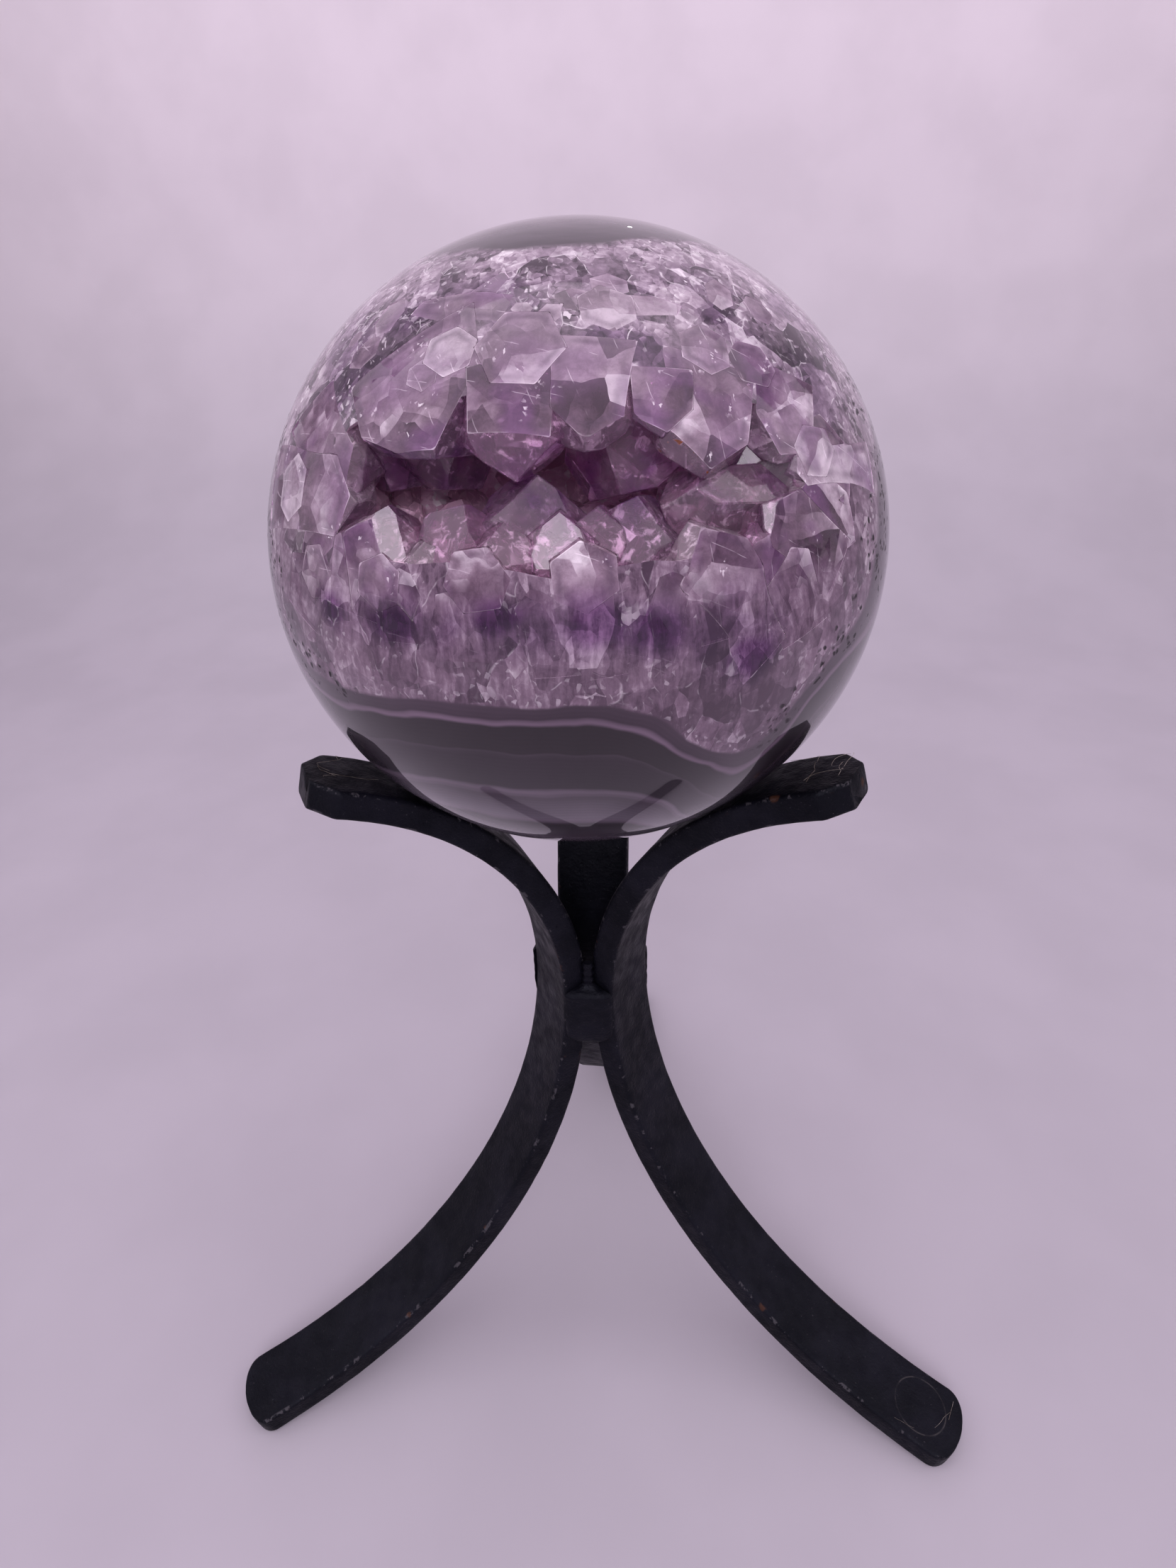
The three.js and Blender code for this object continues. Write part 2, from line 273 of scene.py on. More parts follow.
def carve(target, cutters, operation="DIFFERENCE"):
    """Cuts the target by each cutter in turn."""
    for cutter in cutters:
        cut = target.modifiers.new("cut", "BOOLEAN")
        cut.operation = operation
        cut.solver = "MANIFOLD"
        cut.object = cutter
    drawn = target.evaluated_get(bpy.context.evaluated_depsgraph_get())
    mesh = bpy.data.meshes.new_from_object(drawn)
    target.modifiers.clear()
    old, target.data = target.data, mesh
    bpy.data.meshes.remove(old)


def remove(objects):
    for made in objects:
        mesh = made.data
        bpy.data.objects.remove(made)
        bpy.data.meshes.remove(mesh)


def skin_normal(point):
    return Vector((p / h ** 2 for p, h in zip(point, BALL_HALF))).normalized()


def on_skin(point):
    reach = math.sqrt(sum((p / h) ** 2 for p, h in zip(point, BALL_HALF)))
    return reach > SKIN_REACH


def skin_ahead(x, z):
    """The point of the skin's front at that width and height."""
    return Vector((x, -math.sqrt(BALL_HALF.x ** 2 - x * x - z * z), z))


def polish(mesh, facets):
    """Gives faces on the ball's skin the ball's own smooth normals, and others flat or smoothed ones."""
    mesh.shade_smooth()
    skin = [on_skin(face.center) for face in mesh.polygons]
    own = [tuple(c.vector) for c in mesh.corner_normals]
    normals = []
    for face in mesh.polygons:
        for loop in face.loop_indices:
            if skin[face.index]:
                normals.append(tuple(skin_normal(mesh.vertices[mesh.loops[loop].vertex_index].co)))
            elif facets:
                normals.append(tuple(face.normal))
            else:
                normals.append(own[loop])
    mesh.normals_split_custom_set(normals)
    return skin


# The ball
def ball_form():
    return round_form("ball", SKIN_CUTS, lambda unit: Vector(c * h for c, h in zip(unit, BALL_HALF)))


def air_form():
    """The open hollow: a lumpy oval of air, tilted a little."""

    def moved(unit):
        x, y, z = unit
        lump = math.sin(5.1 * x + 1.3) * math.cos(6.3 * z + 0.4) + 0.6 * math.sin(9.2 * x - 4 * y)
        rough = 0.05 * noise.noise(unit * 4) + 0.03 * noise.noise(unit * 9)
        grown = unit * (1 + AIR_LUMP * lump + rough)
        return AIR_TURN @ Vector(g * h for g, h in zip(grown, AIR_HALF)) + AIR_MIDDLE

    return round_form("air", AIR_CUTS, moved)


# Crystals
def convex_solid(planes):
    """Corners and faces of the space inside every plane, each an outward normal and a distance."""
    normals = np.array([n for n, _ in planes])
    reach = np.array([d for _, d in planes])
    triples = np.array(list(itertools.combinations(range(len(planes)), 3)))
    systems = normals[triples]
    solvable = np.abs(np.linalg.det(systems)) > TINY
    points = np.linalg.solve(systems[solvable], reach[triples[solvable]][..., None])[..., 0]
    points = points[np.all(points @ normals.T <= reach + TINY, axis=1)]
    corners = np.unique(np.round(points, 5), axis=0)
    faces = []
    for normal, distance in zip(normals, reach):
        on_plane = np.nonzero(np.abs(corners @ normal - distance) < ON_PLANE)[0]
        if len(on_plane) < 3:
            continue
        middle = corners[on_plane].mean(axis=0)
        first = corners[on_plane[0]] - middle
        second = np.cross(normal, first)
        spokes = corners[on_plane] - middle
        turn = np.arctan2(spokes @ second, spokes @ first)
        faces.append([int(i) for i in on_plane[np.argsort(turn)]])
    return corners, faces


def crystal_planes(tip, root, radius, dice):
    """Six column faces that narrow a little, six faces that meet near the tip, and a flat root."""
    along = (tip - root).normalized()
    side = along.orthogonal().normalized()
    turn = dice.uniform(0, math.pi / 3)
    end = (Vector(dice.uniform(-0.25, 0.25) for _ in range(3)) - along).normalized()
    planes = [(end, end.dot(root))]
    large_first = dice.randrange(2)
    for i in range(6):
        outward = Quaternion(along, turn + i * math.pi / 3) @ side
        column = (outward + 0.05 * along).normalized()
        planes.append((column, column.dot(root + outward * radius * dice.uniform(0.84, 0.96))))
        lean = math.radians(dice.uniform(42, 47))
        facet = math.sin(lean) * outward + math.cos(lean) * along
        back_off = radius * (dice.uniform(0.12, 0.4) if (i + large_first) % 2 else dice.uniform(0, 0.08))
        planes.append((facet, facet.dot(tip) + back_off * math.cos(lean)))
    return [(tuple(n), d) for n, d in planes]


def flush_crystal(point, radius, kind, lean=Vector()):
    """A crystal that stands about square to the skin, its tip polished away."""
    outward = (skin_normal(Vector(point)) + lean).normalized()
    return Vector(point) + outward * 3 * radius, Vector(point) - outward * FLUSH_DEPTH, radius, kind


def scattered_crystals():
    """Small crystals cut flush above the hollow, each with a lean of its own."""
    dice = random.Random(77)
    listed = []
    for i in range(SCATTERED):
        x = -27 + 56 * (i * GOLDEN_SHARE % 1)
        z = SCATTERED_LOW + SCATTERED_RISE * dice.random() - 0.006 * x * x
        point = skin_ahead(x, z)
        lean = Vector(dice.uniform(-SCATTERED_LEAN, SCATTERED_LEAN) for _ in range(3))
        radius = dice.uniform(*SCATTERED_RADIUS)
        listed.append(flush_crystal(point, radius, dice.choice(["clear", "milky", "smoky"]), lean))
    return listed


def border_crystals():
    """Crystals at the sides and foot of the hollow's mouth that lean into it, cut by the polish."""
    dice = random.Random(31)
    listed = []
    for i in range(BORDER_CRYSTALS):
        turned = BORDER_TURN * (i + dice.uniform(-0.25, 0.25)) / (BORDER_CRYSTALS - 1)
        turn = math.radians(BORDER_START + turned)
        x = AIR_MIDDLE.x + 0.95 * AIR_HALF.x * math.cos(turn)
        z = AIR_MIDDLE.z + 1.02 * AIR_HALF.z * math.sin(turn)
        skin = skin_ahead(x, z)
        nearest = max(-GROWTH_HALF, min(GROWTH_HALF, x))
        inward = Vector((nearest - x, dice.uniform(1, 4), AIR_MIDDLE.z - z)).normalized()
        inward = (inward + 0.25 * Vector((dice.uniform(-1, 1), 0, dice.uniform(-1, 1)))).normalized()
        radius = dice.uniform(*BORDER_RADIUS)
        kind = dice.choice(["smoky", "milky", "violet", "smoky"])
        tip = skin * 0.96 + inward * radius * dice.uniform(0.5, 1.0)
        listed.append((tip, skin * 0.93 - inward * 9, radius, kind))
    return listed


def crystal_form(name, planes, grow=0.0, soften=0.0):
    corners, faces = convex_solid([(n, d + grow) for n, d in planes])
    made = mesh_object(name, mesh_of(name, corners, faces))
    if soften:
        shape = bmesh.new()
        shape.from_mesh(made.data)
        edges = shape.edges[:]
        bmesh.ops.bevel(shape, geom=edges, offset=soften, segments=1, affect="EDGES", clamp_overlap=True)
        shape.to_mesh(made.data)
        shape.free()
    return made


def boxes_meet(a, b):
    """True if the boxes round two crystals touch: neither begins past the other's end on any axis."""
    axes = zip(zip(*a.bound_box), zip(*b.bound_box))
    return all(max(p) >= min(q) and max(q) >= min(p) for p, q in axes)


def depth_inside(point, planes):
    """How far a point is inside a crystal, from the nearest of its faces."""
    return min(distance - Vector(normal).dot(point) for normal, distance in planes)


def large_crystals(ball):
    """Every large crystal, cut by its nearer neighbours and by the ball, and the pockets they need."""
    dice = random.Random(4211)
    listed = [flush_crystal(*given) for given in FLUSH_CRYSTALS]
    listed += sorted(ROOF_CRYSTALS + FLOOR_CRYSTALS, key=lambda c: c[0][1])
    listed += border_crystals() + scattered_crystals()
    planes = [crystal_planes(Vector(tip), Vector(root), radius, dice) for tip, root, radius, _ in listed]
    grown = [crystal_form("grown", p, grow=CRYSTAL_GAP) for p in planes]
    pockets = [crystal_form("pocket", p, grow=-ROOTED) for p in planes]
    crystals = []
    for i, (crystal, own) in enumerate(zip(listed, planes)):
        made = crystal_form("crystal", own, soften=0.15)
        bpy.context.view_layer.update()
        carve(made, [g for g in grown[:i] if boxes_meet(g, made)])
        carve(made, [ball], "INTERSECT")
        made.data.materials.clear()
        give(made.data, "inside", "POINT", [depth_inside(v.co, own) for v in made.data.vertices])
        crystals.append((made, crystal[3]))
    remove(grown)
    return crystals, pockets


def lining_crystals():
    """Small crystals all over the wall of the hollow behind its mouth."""
    dice = random.Random(977)
    crystals = []
    for i in range(LINING_CRYSTALS):
        height = 1 - 2 * (i + 0.5) / LINING_CRYSTALS
        round_turn = i * math.pi * GOLDEN_TURN
        ring = math.sqrt(1 - height * height)
        outward = Vector((ring * math.cos(round_turn), height, ring * math.sin(round_turn)))
        if outward.y < LINING_FRONT:
            continue
        wall = AIR_TURN @ Vector(o * h for o, h in zip(outward, AIR_HALF)) + AIR_MIDDLE
        normal = (AIR_TURN @ Vector(o / h for o, h in zip(outward, AIR_HALF))).normalized()
        radius = dice.uniform(*LINING_RADIUS)
        lean = Vector(dice.uniform(-LINING_LEAN, LINING_LEAN) for _ in range(3))
        inward = (lean - normal).normalized()
        root = wall - inward * LINING_ROOT
        tip = wall + inward * radius * dice.uniform(0.9, 1.9)
        made = crystal_form("small", crystal_planes(tip, root, radius, dice))
        if max(v.co.length for v in made.data.vertices) > LINING_REACH:
            remove([made])
            continue
        crystals.append((made, "lining"))
    return crystals


def join_crystals(crystals, materials):
    """All crystals as one mesh, each with the material of its kind."""
    dice = random.Random(58)
    corners, faces, kinds, shades, depths = [], [], [], [], []
    for made, kind in crystals:
        first = len(corners)
        shade = PALENESS[kind] + dice.uniform(-0.15, 0.15)
        corners += [v.co.copy() for v in made.data.vertices]
        inside = made.data.attributes.get("inside")
        depths += [d.value for d in inside.data] if inside else [DEEP_INSIDE] * len(made.data.vertices)
        for face in made.data.polygons:
            faces.append([first + i for i in face.vertices])
            kinds.append(KINDS.index(kind))
            shades.append(shade)
    mesh = mesh_of("hollow_crystals", corners, faces)
    for kind in KINDS:
        mesh.materials.append(materials[kind])
    mesh.materials.append(materials["cut"])
    skin = polish(mesh, facets=True)
    kinds = [len(KINDS) if on else kind for on, kind in zip(skin, kinds)]
    mesh.polygons.foreach_set("material_index", kinds)
    give(mesh, "tone", "FACE", shades)
    give(mesh, "inside", "POINT", depths)
    return mesh_object("hollow_crystals", mesh)


# The stand
def bar_point(distance):
    """Place and turn of the bar's inner face: how far out from the axis, how high, and its lean."""
    leg_end = FOOT_STRAIGHT + LEG_RADIUS * LEG_TURN
    leg_turn_left = min(LEG_TURN, (leg_end - distance) / LEG_RADIUS) if distance < leg_end else 0
    arm_turn = max(0, distance - leg_end) / ARM_RADIUS
    straight = max(0, FOOT_STRAIGHT - distance)
    waist = LEG_RADIUS * math.sin(LEG_TURN) + FOOT_STRAIGHT * math.cos(LEG_TURN) - FOOT_SINK
    out = LEG_RADIUS * (1 - math.cos(leg_turn_left)) + ARM_RADIUS * (1 - math.cos(arm_turn))
    up = ARM_RADIUS * math.sin(arm_turn) - LEG_RADIUS * math.sin(leg_turn_left)
    return (
        AXIS_TO_BAR + out + straight * math.sin(LEG_TURN),
        waist + up - straight * math.cos(LEG_TURN),
        arm_turn - leg_turn_left,
    )


def place_on_bar(azimuth, distance, across, thick):
    """A point of a bar: how far along it, across it, and outwards from its inner face."""
    out, up, turn = bar_point(distance)
    outward = Vector((math.cos(azimuth), math.sin(azimuth), 0))
    sideways = Vector((-math.sin(azimuth), math.cos(azimuth), 0))
    place = outward * (out + thick * math.cos(turn)) - sideways * across
    return place + Vector((0, 0, up - thick * math.sin(turn)))


def bar_section(half_width):
    """Points round the section, each across the bar, outwards from its inner face, and 1 on an edge."""
    corner = min(BAR_CORNER, half_width * 0.8)
    flat, deep = half_width - corner, BAR_THICKNESS / 2 - BAR_CORNER
    points = []

    def round_at(across, thick, a):
        return Vector((across * flat + corner * math.cos(a), thick * deep + BAR_CORNER * math.sin(a)))

    sides = [(1, 1, 0, 15), (-1, 1, 90, 4), (-1, -1, 180, 15), (1, -1, 270, 4)]
    for i, (across, thick, start, steps) in enumerate(sides):
        for angle in (0, 22.5, 45, 67.5, 90):
            a = math.radians(start + angle)
            edge = math.sin(math.radians(2 * angle))
            x = across * flat + corner * math.cos(a)
            y = BAR_THICKNESS / 2 + thick * deep + BAR_CORNER * math.sin(a)
            points.append((x, y, 0.35 + 0.65 * edge))
        end = math.radians(start + 90)
        here = round_at(across, thick, end)
        there = round_at(*sides[(i + 1) % 4][:2], end)
        for k in range(1, steps):
            x, y = here.lerp(there, k / steps)
            points.append((x, BAR_THICKNESS / 2 + y, 0.0))
    return points


def hammered(point, seed):
    """How far the forged surface stands in or out."""
    shift = Vector((seed * 17.3, seed * 5.1, 0))
    wide, fine = WIDE_DENTS, FINE_DENTS
    dents = noise.noise((point + shift) / wide[0]) * wide[1]
    dents += noise.noise((point - shift) / fine[0]) * fine[1]
    return dents - DENT_SINK


def bar_mesh(name, azimuth, seed):
    stations = [
        (END_ROUNDING * (1 - math.cos(a) ** FOOT_CURVE), math.sin(a) ** FOOT_CURVE)
        for a in (math.radians(d) for d in (*range(6, 79, 8), 85))
    ]
    middle = BAR_LENGTH - 2 * END_ROUNDING
    stations += [(END_ROUNDING + middle * i / BAR_STEPS, 1) for i in range(BAR_STEPS + 1)]
    stations += [(BAR_LENGTH - inward, share) for inward, share in ARM_END]
    corners, edges = [], []
    for distance, share in stations:
        for across, thick, edge in bar_section(BAR_WIDTH / 2 * share):
            corners.append(place_on_bar(azimuth, distance, across, thick))
            edges.append(edge)
    count = len(bar_section(BAR_WIDTH / 2))
    mesh = mesh_of(name, corners, tube_faces(len(stations), count))
    normals = [v.normal.copy() for v in mesh.vertices]
    for corner, normal in zip(mesh.vertices, normals):
        corner.co += normal * hammered(corner.co, seed)
        corner.co.z = max(corner.co.z, 0)
    give(mesh, "edge", "POINT", edges)
    mesh.shade_smooth()
    return mesh


def hairs_mesh(name, azimuth, near, thick, count, seed):
    """Pale hairs and fluff that lie on a bar about that far along it."""
    dice = random.Random(seed)
    corners, faces = [], []
    for _ in range(count):
        along = near + dice.uniform(-HAIR_SPREAD, HAIR_SPREAD)
        across = dice.uniform(-HAIR_ACROSS, HAIR_ACROSS)
        heading, bend = dice.uniform(0, 2 * math.pi), dice.uniform(-0.05, 0.05)
        path = []
        for step in range(dice.randint(10, 34)):
            heading += bend + dice.uniform(-0.15, 0.15)
            along = min(max(along + HAIR_STEP * math.cos(heading), 3), BAR_LENGTH - 2.5)
            across = min(max(across + HAIR_STEP * math.sin(heading), -HAIR_EDGE), HAIR_EDGE)
            lift = 0.1 + 0.12 * math.sin(step / 4)
            rise = lift if thick > 0 else -lift
            path.append(place_on_bar(azimuth, along, across, thick + rise))
        first = len(corners)
        for middle in path:
            for k in range(3):
                a = 2 * math.pi * k / 3
                corners.append(middle + HAIR_RADIUS * Vector((math.cos(a), 0.5, math.sin(a))))
        faces += tube_faces(len(path), 3, first, capped=False)
    return mesh_of(name, corners, faces)


def weld_mesh(name, azimuth, half_angle, seed):
    """Fills the groove between two bars, with a proud pad below and a sunk rippled bead above."""
    clear = BAR_WIDTH / 2 + WELD_GAP
    inner = clear / math.sin(half_angle) + 0.3
    rows = []
    for i in range(WELD_ROWS + 1):
        height = WELD_LOW - WELD_UNDER + (WELD_HIGH - WELD_LOW + WELD_UNDER) * i / WELD_ROWS
        if height < WELD_STEP:
            low = math.exp(-max(0, height - WELD_LOW + WELD_UNDER) / 0.8)
            face = WELD_FACE - 1.2 * low - 0.5 * max(0, (height - WELD_STEP + 0.7) / 0.7)
        else:
            step = math.exp(-(height - WELD_STEP) / 0.5)
            ripple = RIPPLE_HEIGHT * math.sin((height - WELD_STEP) * RIPPLE_TURN)
            face = BEAD_FACE + 1.4 * step + ripple
        rows.append((height, face))
    turn = Matrix.Rotation(azimuth, 3, "Z")
    corners = []

    def side(face):
        return (face * math.sin(half_angle) - clear) / math.cos(half_angle)

    for height, face in rows:
        half, narrow = side(face - WELD_BEVEL), side(inner) * 0.9
        front = [(-1, 0), (-0.93, 0.45), (-0.8, 0.75)] + [(k / 8, 1) for k in range(-5, 6)]
        front += [(0.8, 0.75), (0.93, 0.45), (1, 0)]
        outline = [(inner, narrow), (inner, -narrow)]
        for across, rise in front:
            crown = 0.25 * (1 - across * across)
            outline.append((face - WELD_BEVEL * (1 - rise) + crown * rise, half * across))
        for x, y in outline:
            corner = turn @ Vector((x, y, height))
            bump = noise.noise(corner / 1.7 + Vector((seed, 0, 0))) * 0.16
            corners.append(corner + turn @ Vector((bump if x > inner else 0, 0, 0)))
    mesh = mesh_of(name, corners, tube_faces(len(rows), len(corners) // len(rows)))
    mesh.shade_smooth()
    mesh.set_sharp_from_angle(angle=math.radians(40))
    return mesh


# What a node gives out, so that sums of such values can be written as sums
class Value:
    def __init__(self, graph, socket):
        self.graph = graph
        self.socket = socket

    def __add__(self, other):
        return self.graph.math("ADD", self, other)

    def __radd__(self, other):
        return self.graph.math("ADD", other, self)

    def __sub__(self, other):
        return self.graph.math("SUBTRACT", self, other)

    def __rsub__(self, other):
        return self.graph.math("SUBTRACT", other, self)

    def __mul__(self, other):
        return self.graph.math("MULTIPLY", self, other)

    def __rmul__(self, other):
        return self.graph.math("MULTIPLY", other, self)

    def __truediv__(self, other):
        return self.graph.math("DIVIDE", self, other)

    def __pow__(self, other):
        return self.graph.math("POWER", self, other)

    def __abs__(self):
        return self.graph.math("ABSOLUTE", self)


# Short names for the nodes of a material
class Graph:
    def __init__(self, name):
        self.material = bpy.data.materials.new(name)
        self.material.use_nodes = True
        self.tree = self.material.node_tree
        self.shader = self.tree.nodes["Principled BSDF"]

    @classmethod
    def of_tree(cls, tree):
        made = cls.__new__(cls)
        made.tree = tree
        return made

    def put(self, socket, value):
        if isinstance(value, Value):
            self.tree.links.new(value.socket, socket)
        elif isinstance(value, tuple) and len(value) == 3 and socket.type == "RGBA":
            socket.default_value = (*value, 1)
        else:
            socket.default_value = value

    def add(self, kind, out, inputs, **settings):
        """A new node, with its settings and inputs, by number or by name."""
        made = self.tree.nodes.new("ShaderNode" + kind)
        for name, value in settings.items():
            setattr(made, name, value)
        for name, value in inputs.items():
            self.put(made.inputs[name], value)
        return Value(self, made.outputs[out])

    def set(self, **inputs):
        for name, value in inputs.items():
            self.put(self.shader.inputs[name.replace("_", " ")], value)

    def millimetres(self):
        return self.scaled(self.add("TexCoord", "Object", {}), 1 / MM)

    def attribute(self, name):
        return self.add("Attribute", "Fac", {}, attribute_name=name)

    def scaled(self, place, share):
        return self.vector("MULTIPLY", place, share if isinstance(share, tuple) else (share,) * 3)

    def math(self, operation, *values, clamp=False):
        return self.add("Math", 0, dict(enumerate(values)), operation=operation, use_clamp=clamp)

    def most(self, first, second):
        return self.math("MAXIMUM", first, second)

    def vector(self, operation, *values, out=0):
        return self.add("VectorMath", out, dict(enumerate(values)), operation=operation)

    def split(self, place):
        parts = self.add("SeparateXYZ", 0, {0: place}).socket.node.outputs
        return [Value(self, part) for part in parts]

    def joined(self, x, y, z):
        return self.add("CombineXYZ", 0, {0: x, 1: y, 2: z})

    def noise(self, place, size, detail=2.0, rough=0.5, out="Factor"):
        inputs = {"Vector": place, "Scale": 1 / size, "Detail": detail, "Roughness": rough}
        return self.add("TexNoise", 0 if out == "Factor" else 1, inputs)

    def warp(self, place, size, amount, detail=2.0):
        """The place, pushed about by a noise of that size by up to about that amount."""
        push = self.vector("SUBTRACT", self.noise(place, size, detail, out="Color"), (0.5, 0.5, 0.5))
        return self.vector("ADD", place, self.scaled(push, amount * 2))

    def cells(self, place, size, out="Color"):
        return self.add("TexVoronoi", out, {"Vector": place, "Scale": 1 / size}, feature="F1")

    def edges(self, place, size):
        """How near the edge between two cells is."""
        inputs = {"Vector": place, "Scale": 1 / size}
        return self.add("TexVoronoi", "Distance", inputs, feature="DISTANCE_TO_EDGE")

    def band(self, value, low, high, start=0.0, end=1.0):
        """From start to end as the value goes from low to high."""
        inputs = dict(enumerate((value, low, high, start, end)))
        return self.add("MapRange", 0, inputs, interpolation_type="SMOOTHSTEP")

    def peak(self, value, middle, width):
        """1 where the value is at the middle, and 0 once it is the width away."""
        return self.band(abs(value - middle), 0.0, width, 1.0, 0.0)

    def mix(self, share, first, second, blend="MIX"):
        inputs = {"Factor": share, 6: first, 7: second}
        return self.add("Mix", 2, inputs, data_type="RGBA", blend_type=blend)

    def number(self, share, first, second):
        """From one number to another, as a mix of greys."""
        return self.mix(share, *((n if isinstance(n, Value) else (n,) * 3) for n in (first, second)))

    def shaded(self, colour, level):
        """The colour, darker or lighter by that level."""
        grey = self.add("CombineColor", 0, {0: level, 1: level, 2: level})
        return self.mix(1.0, colour, grey, "MULTIPLY")

    def ramp(self, value, stops):
        """A colour for the value, from stops that each have a place and a colour."""
        made = self.add("ValToRGB", 0, {0: value})
        points = made.socket.node.color_ramp.elements
        while len(points) < len(stops):
            points.new(0.5)
        for point, (place, _) in zip(points, stops):
            point.position = place
        for point, (_, colour) in zip(points, stops):
            point.color = (*colour, 1)
        return made

    def bump(self, height, distance, strength=1.0, normal=None):
        inputs = {"Strength": strength, "Distance": distance * MM, "Height": height}
        if normal is not None:
            inputs["Normal"] = normal
        return self.add("Bump", 0, inputs)

    def tilted(self, colour, strength, normal=None):
        """The surface's normal, leaned by a random colour as a broken facet is."""
        lean = self.vector("SUBTRACT", colour, (0.5, 0.5, 0.5))
        push = self.vector("MULTIPLY", lean, self.joined(strength, strength, strength))
        start = normal if normal is not None else self.add("NewGeometry", "Normal", {})
        return self.vector("NORMALIZE", self.vector("ADD", start, push))


QUARTZ_IOR = 1.54

# Colours, as shares of light
# The white of cracks and fractures, also used for painted glints and painted rim highlights
WHITE_OF_CRACKS_AND_GLINTS = (0.88, 0.80, 0.88)
AGATE_EDGE = (0.05, 0.031, 0.05)
AGATE_LINE = (0.15, 0.1, 0.15)
AGATE_DARK = (0.013, 0.008, 0.013)
AGATE_GREY = (0.05, 0.036, 0.052)
AGATE_PALE = (0.12, 0.09, 0.125)
RUST = (0.22, 0.06, 0.02)
COLUMNS = [(0.15, (0.08, 0.042, 0.078)), (0.5, (0.23, 0.15, 0.22)), (0.9, (0.52, 0.42, 0.51))]
DEEP_VIOLET = [(0.2, (0.022, 0.004, 0.03)), (0.5, (0.06, 0.014, 0.075)), (0.9, (0.22, 0.1, 0.24))]
MILKY_FEET = [(0.15, (0.1, 0.058, 0.095)), (0.5, (0.2, 0.13, 0.19)), (0.9, (0.44, 0.35, 0.43))]
SHATTERED = [
    (0.14, (0.06, 0.038, 0.06)),
    (0.5, (0.3, 0.22, 0.295)),
    (0.8, (0.6, 0.5, 0.59)),
    (1.0, (0.92, 0.86, 0.91)),
]
CUT_FACES = [
    (0.1, (0.06, 0.026, 0.055)),
    (0.32, (0.2, 0.118, 0.185)),
    (0.56, (0.41, 0.29, 0.39)),
    (0.86, (0.8, 0.68, 0.79)),
]
# Bands of the agate outwards from the crystals' edge: millimetres in one step of depth, how far
# the bands go in all, and their places and colours
AGATE_DEPTH, AGATE_SPAN = 25.0, 40.0
AGATE_BANDS = [
    (0.0, AGATE_EDGE),
    (0.05, (0.035, 0.02, 0.035)),
    (0.066, AGATE_LINE),
    (0.072, AGATE_LINE),
    (0.084, AGATE_DARK),
    (0.19, AGATE_DARK),
    (0.196, (0.034, 0.023, 0.035)),
    (0.215, (0.02, 0.013, 0.021)),
    (0.36, (0.018, 0.012, 0.019)),
    (0.38, AGATE_PALE),
    (0.42, AGATE_GREY),
    (0.55, (0.12, 0.1, 0.13)),
    (0.57, AGATE_PALE),
    (0.6, AGATE_DARK),
    (0.72, AGATE_GREY),
    (0.76, AGATE_PALE),
    (0.85, AGATE_GREY),
    (1.0, (0.1, 0.08, 0.11)),
]

# The strongest patches of violet: middle and reach, six below the hollow, two over its left end
# and two at hanging tips
VIOLET_PATCHES = [
    ((5.8, -49.4, 4.8), 6.0),
    ((12.7, -48.2, 3.5), 5.5),
    ((24.9, -43.3, -2.0), 5.5),
    ((-6.2, -49.2, 5.6), 4.0),
    ((-20.1, -45.5, 4.0), 5.0),
    ((-29.3, -40.3, 3.8), 4.0),
    ((-18.5, -26.5, 37.6), 5.0),
    ((-7.0, -27.5, 40.5), 4.0),
    ((-14.0, -41.5, 24.5), 4.0),
    ((12.0, -41.0, 27.0), 3.5),
]

# How far the crystals reach from the hollow before the agate begins, and where they dip lower
REACH_BELOW, REACH_ABOVE, REACH_ASIDE, REACH_INWARDS = 24.3, 27.2, 44.0, 40.0
MOUTH_DEPTH = 36.0
DIP_PLACE, DIP_WIDTH, DIP_DEPTH = 24.5, 9.0, 11.5


def growth(g, place):
    """Coordinates that follow the crystals: along the hollow, into the stone, and outwards."""
    x, y, z = g.split(place)
    nearest = g.math("MINIMUM", g.most(x, -GROWTH_HALF), GROWTH_HALF)
    across = x - nearest
    height = z - GROWTH_HEIGHT
    turn = g.math("ARCTAN2", height, across) * GROWTH_REACH
    outward = g.math("SQRT", across * across + height * height)
    return g.joined(nearest + turn, y, outward)


def facets(g, place, size, painted_shade_slant):
    """Broken pieces: each one's random tone with painted shading, lighter to one side as if its tilted
    face were lit, and its random colour.
    """
    own = g.cells(place, size)
    middle = g.cells(place, size, out="Position")
    offset = g.vector("SUBTRACT", place, middle)
    direction = g.vector("SUBTRACT", own, (0.5, 0.5, 0.5))
    # Painted shade: a gradient across each piece stands in for light falling on a tilted face
    lean = g.vector("DOT_PRODUCT", offset, direction, out="Value") * (painted_shade_slant / size)
    return g.split(own)[2] + lean, own


def scratches(g, place, apart):
    """Thin straight lines at two slants, about that far apart: traces of cracks and growth planes."""
    x, y, z = g.split(g.warp(place, 6, 0.5))
    found = 0.0
    for across, up in ((0.35, 0.93), (0.95, 0.1)):
        along = x * (across / apart) + z * (up / apart)
        along = y * (0.5 / apart) + along
        off = abs(g.math("FRACT", along) - 0.5)
        found = g.most(found, g.band(off, 0.0, 0.09 / apart, 1.0, 0.0))
    return found


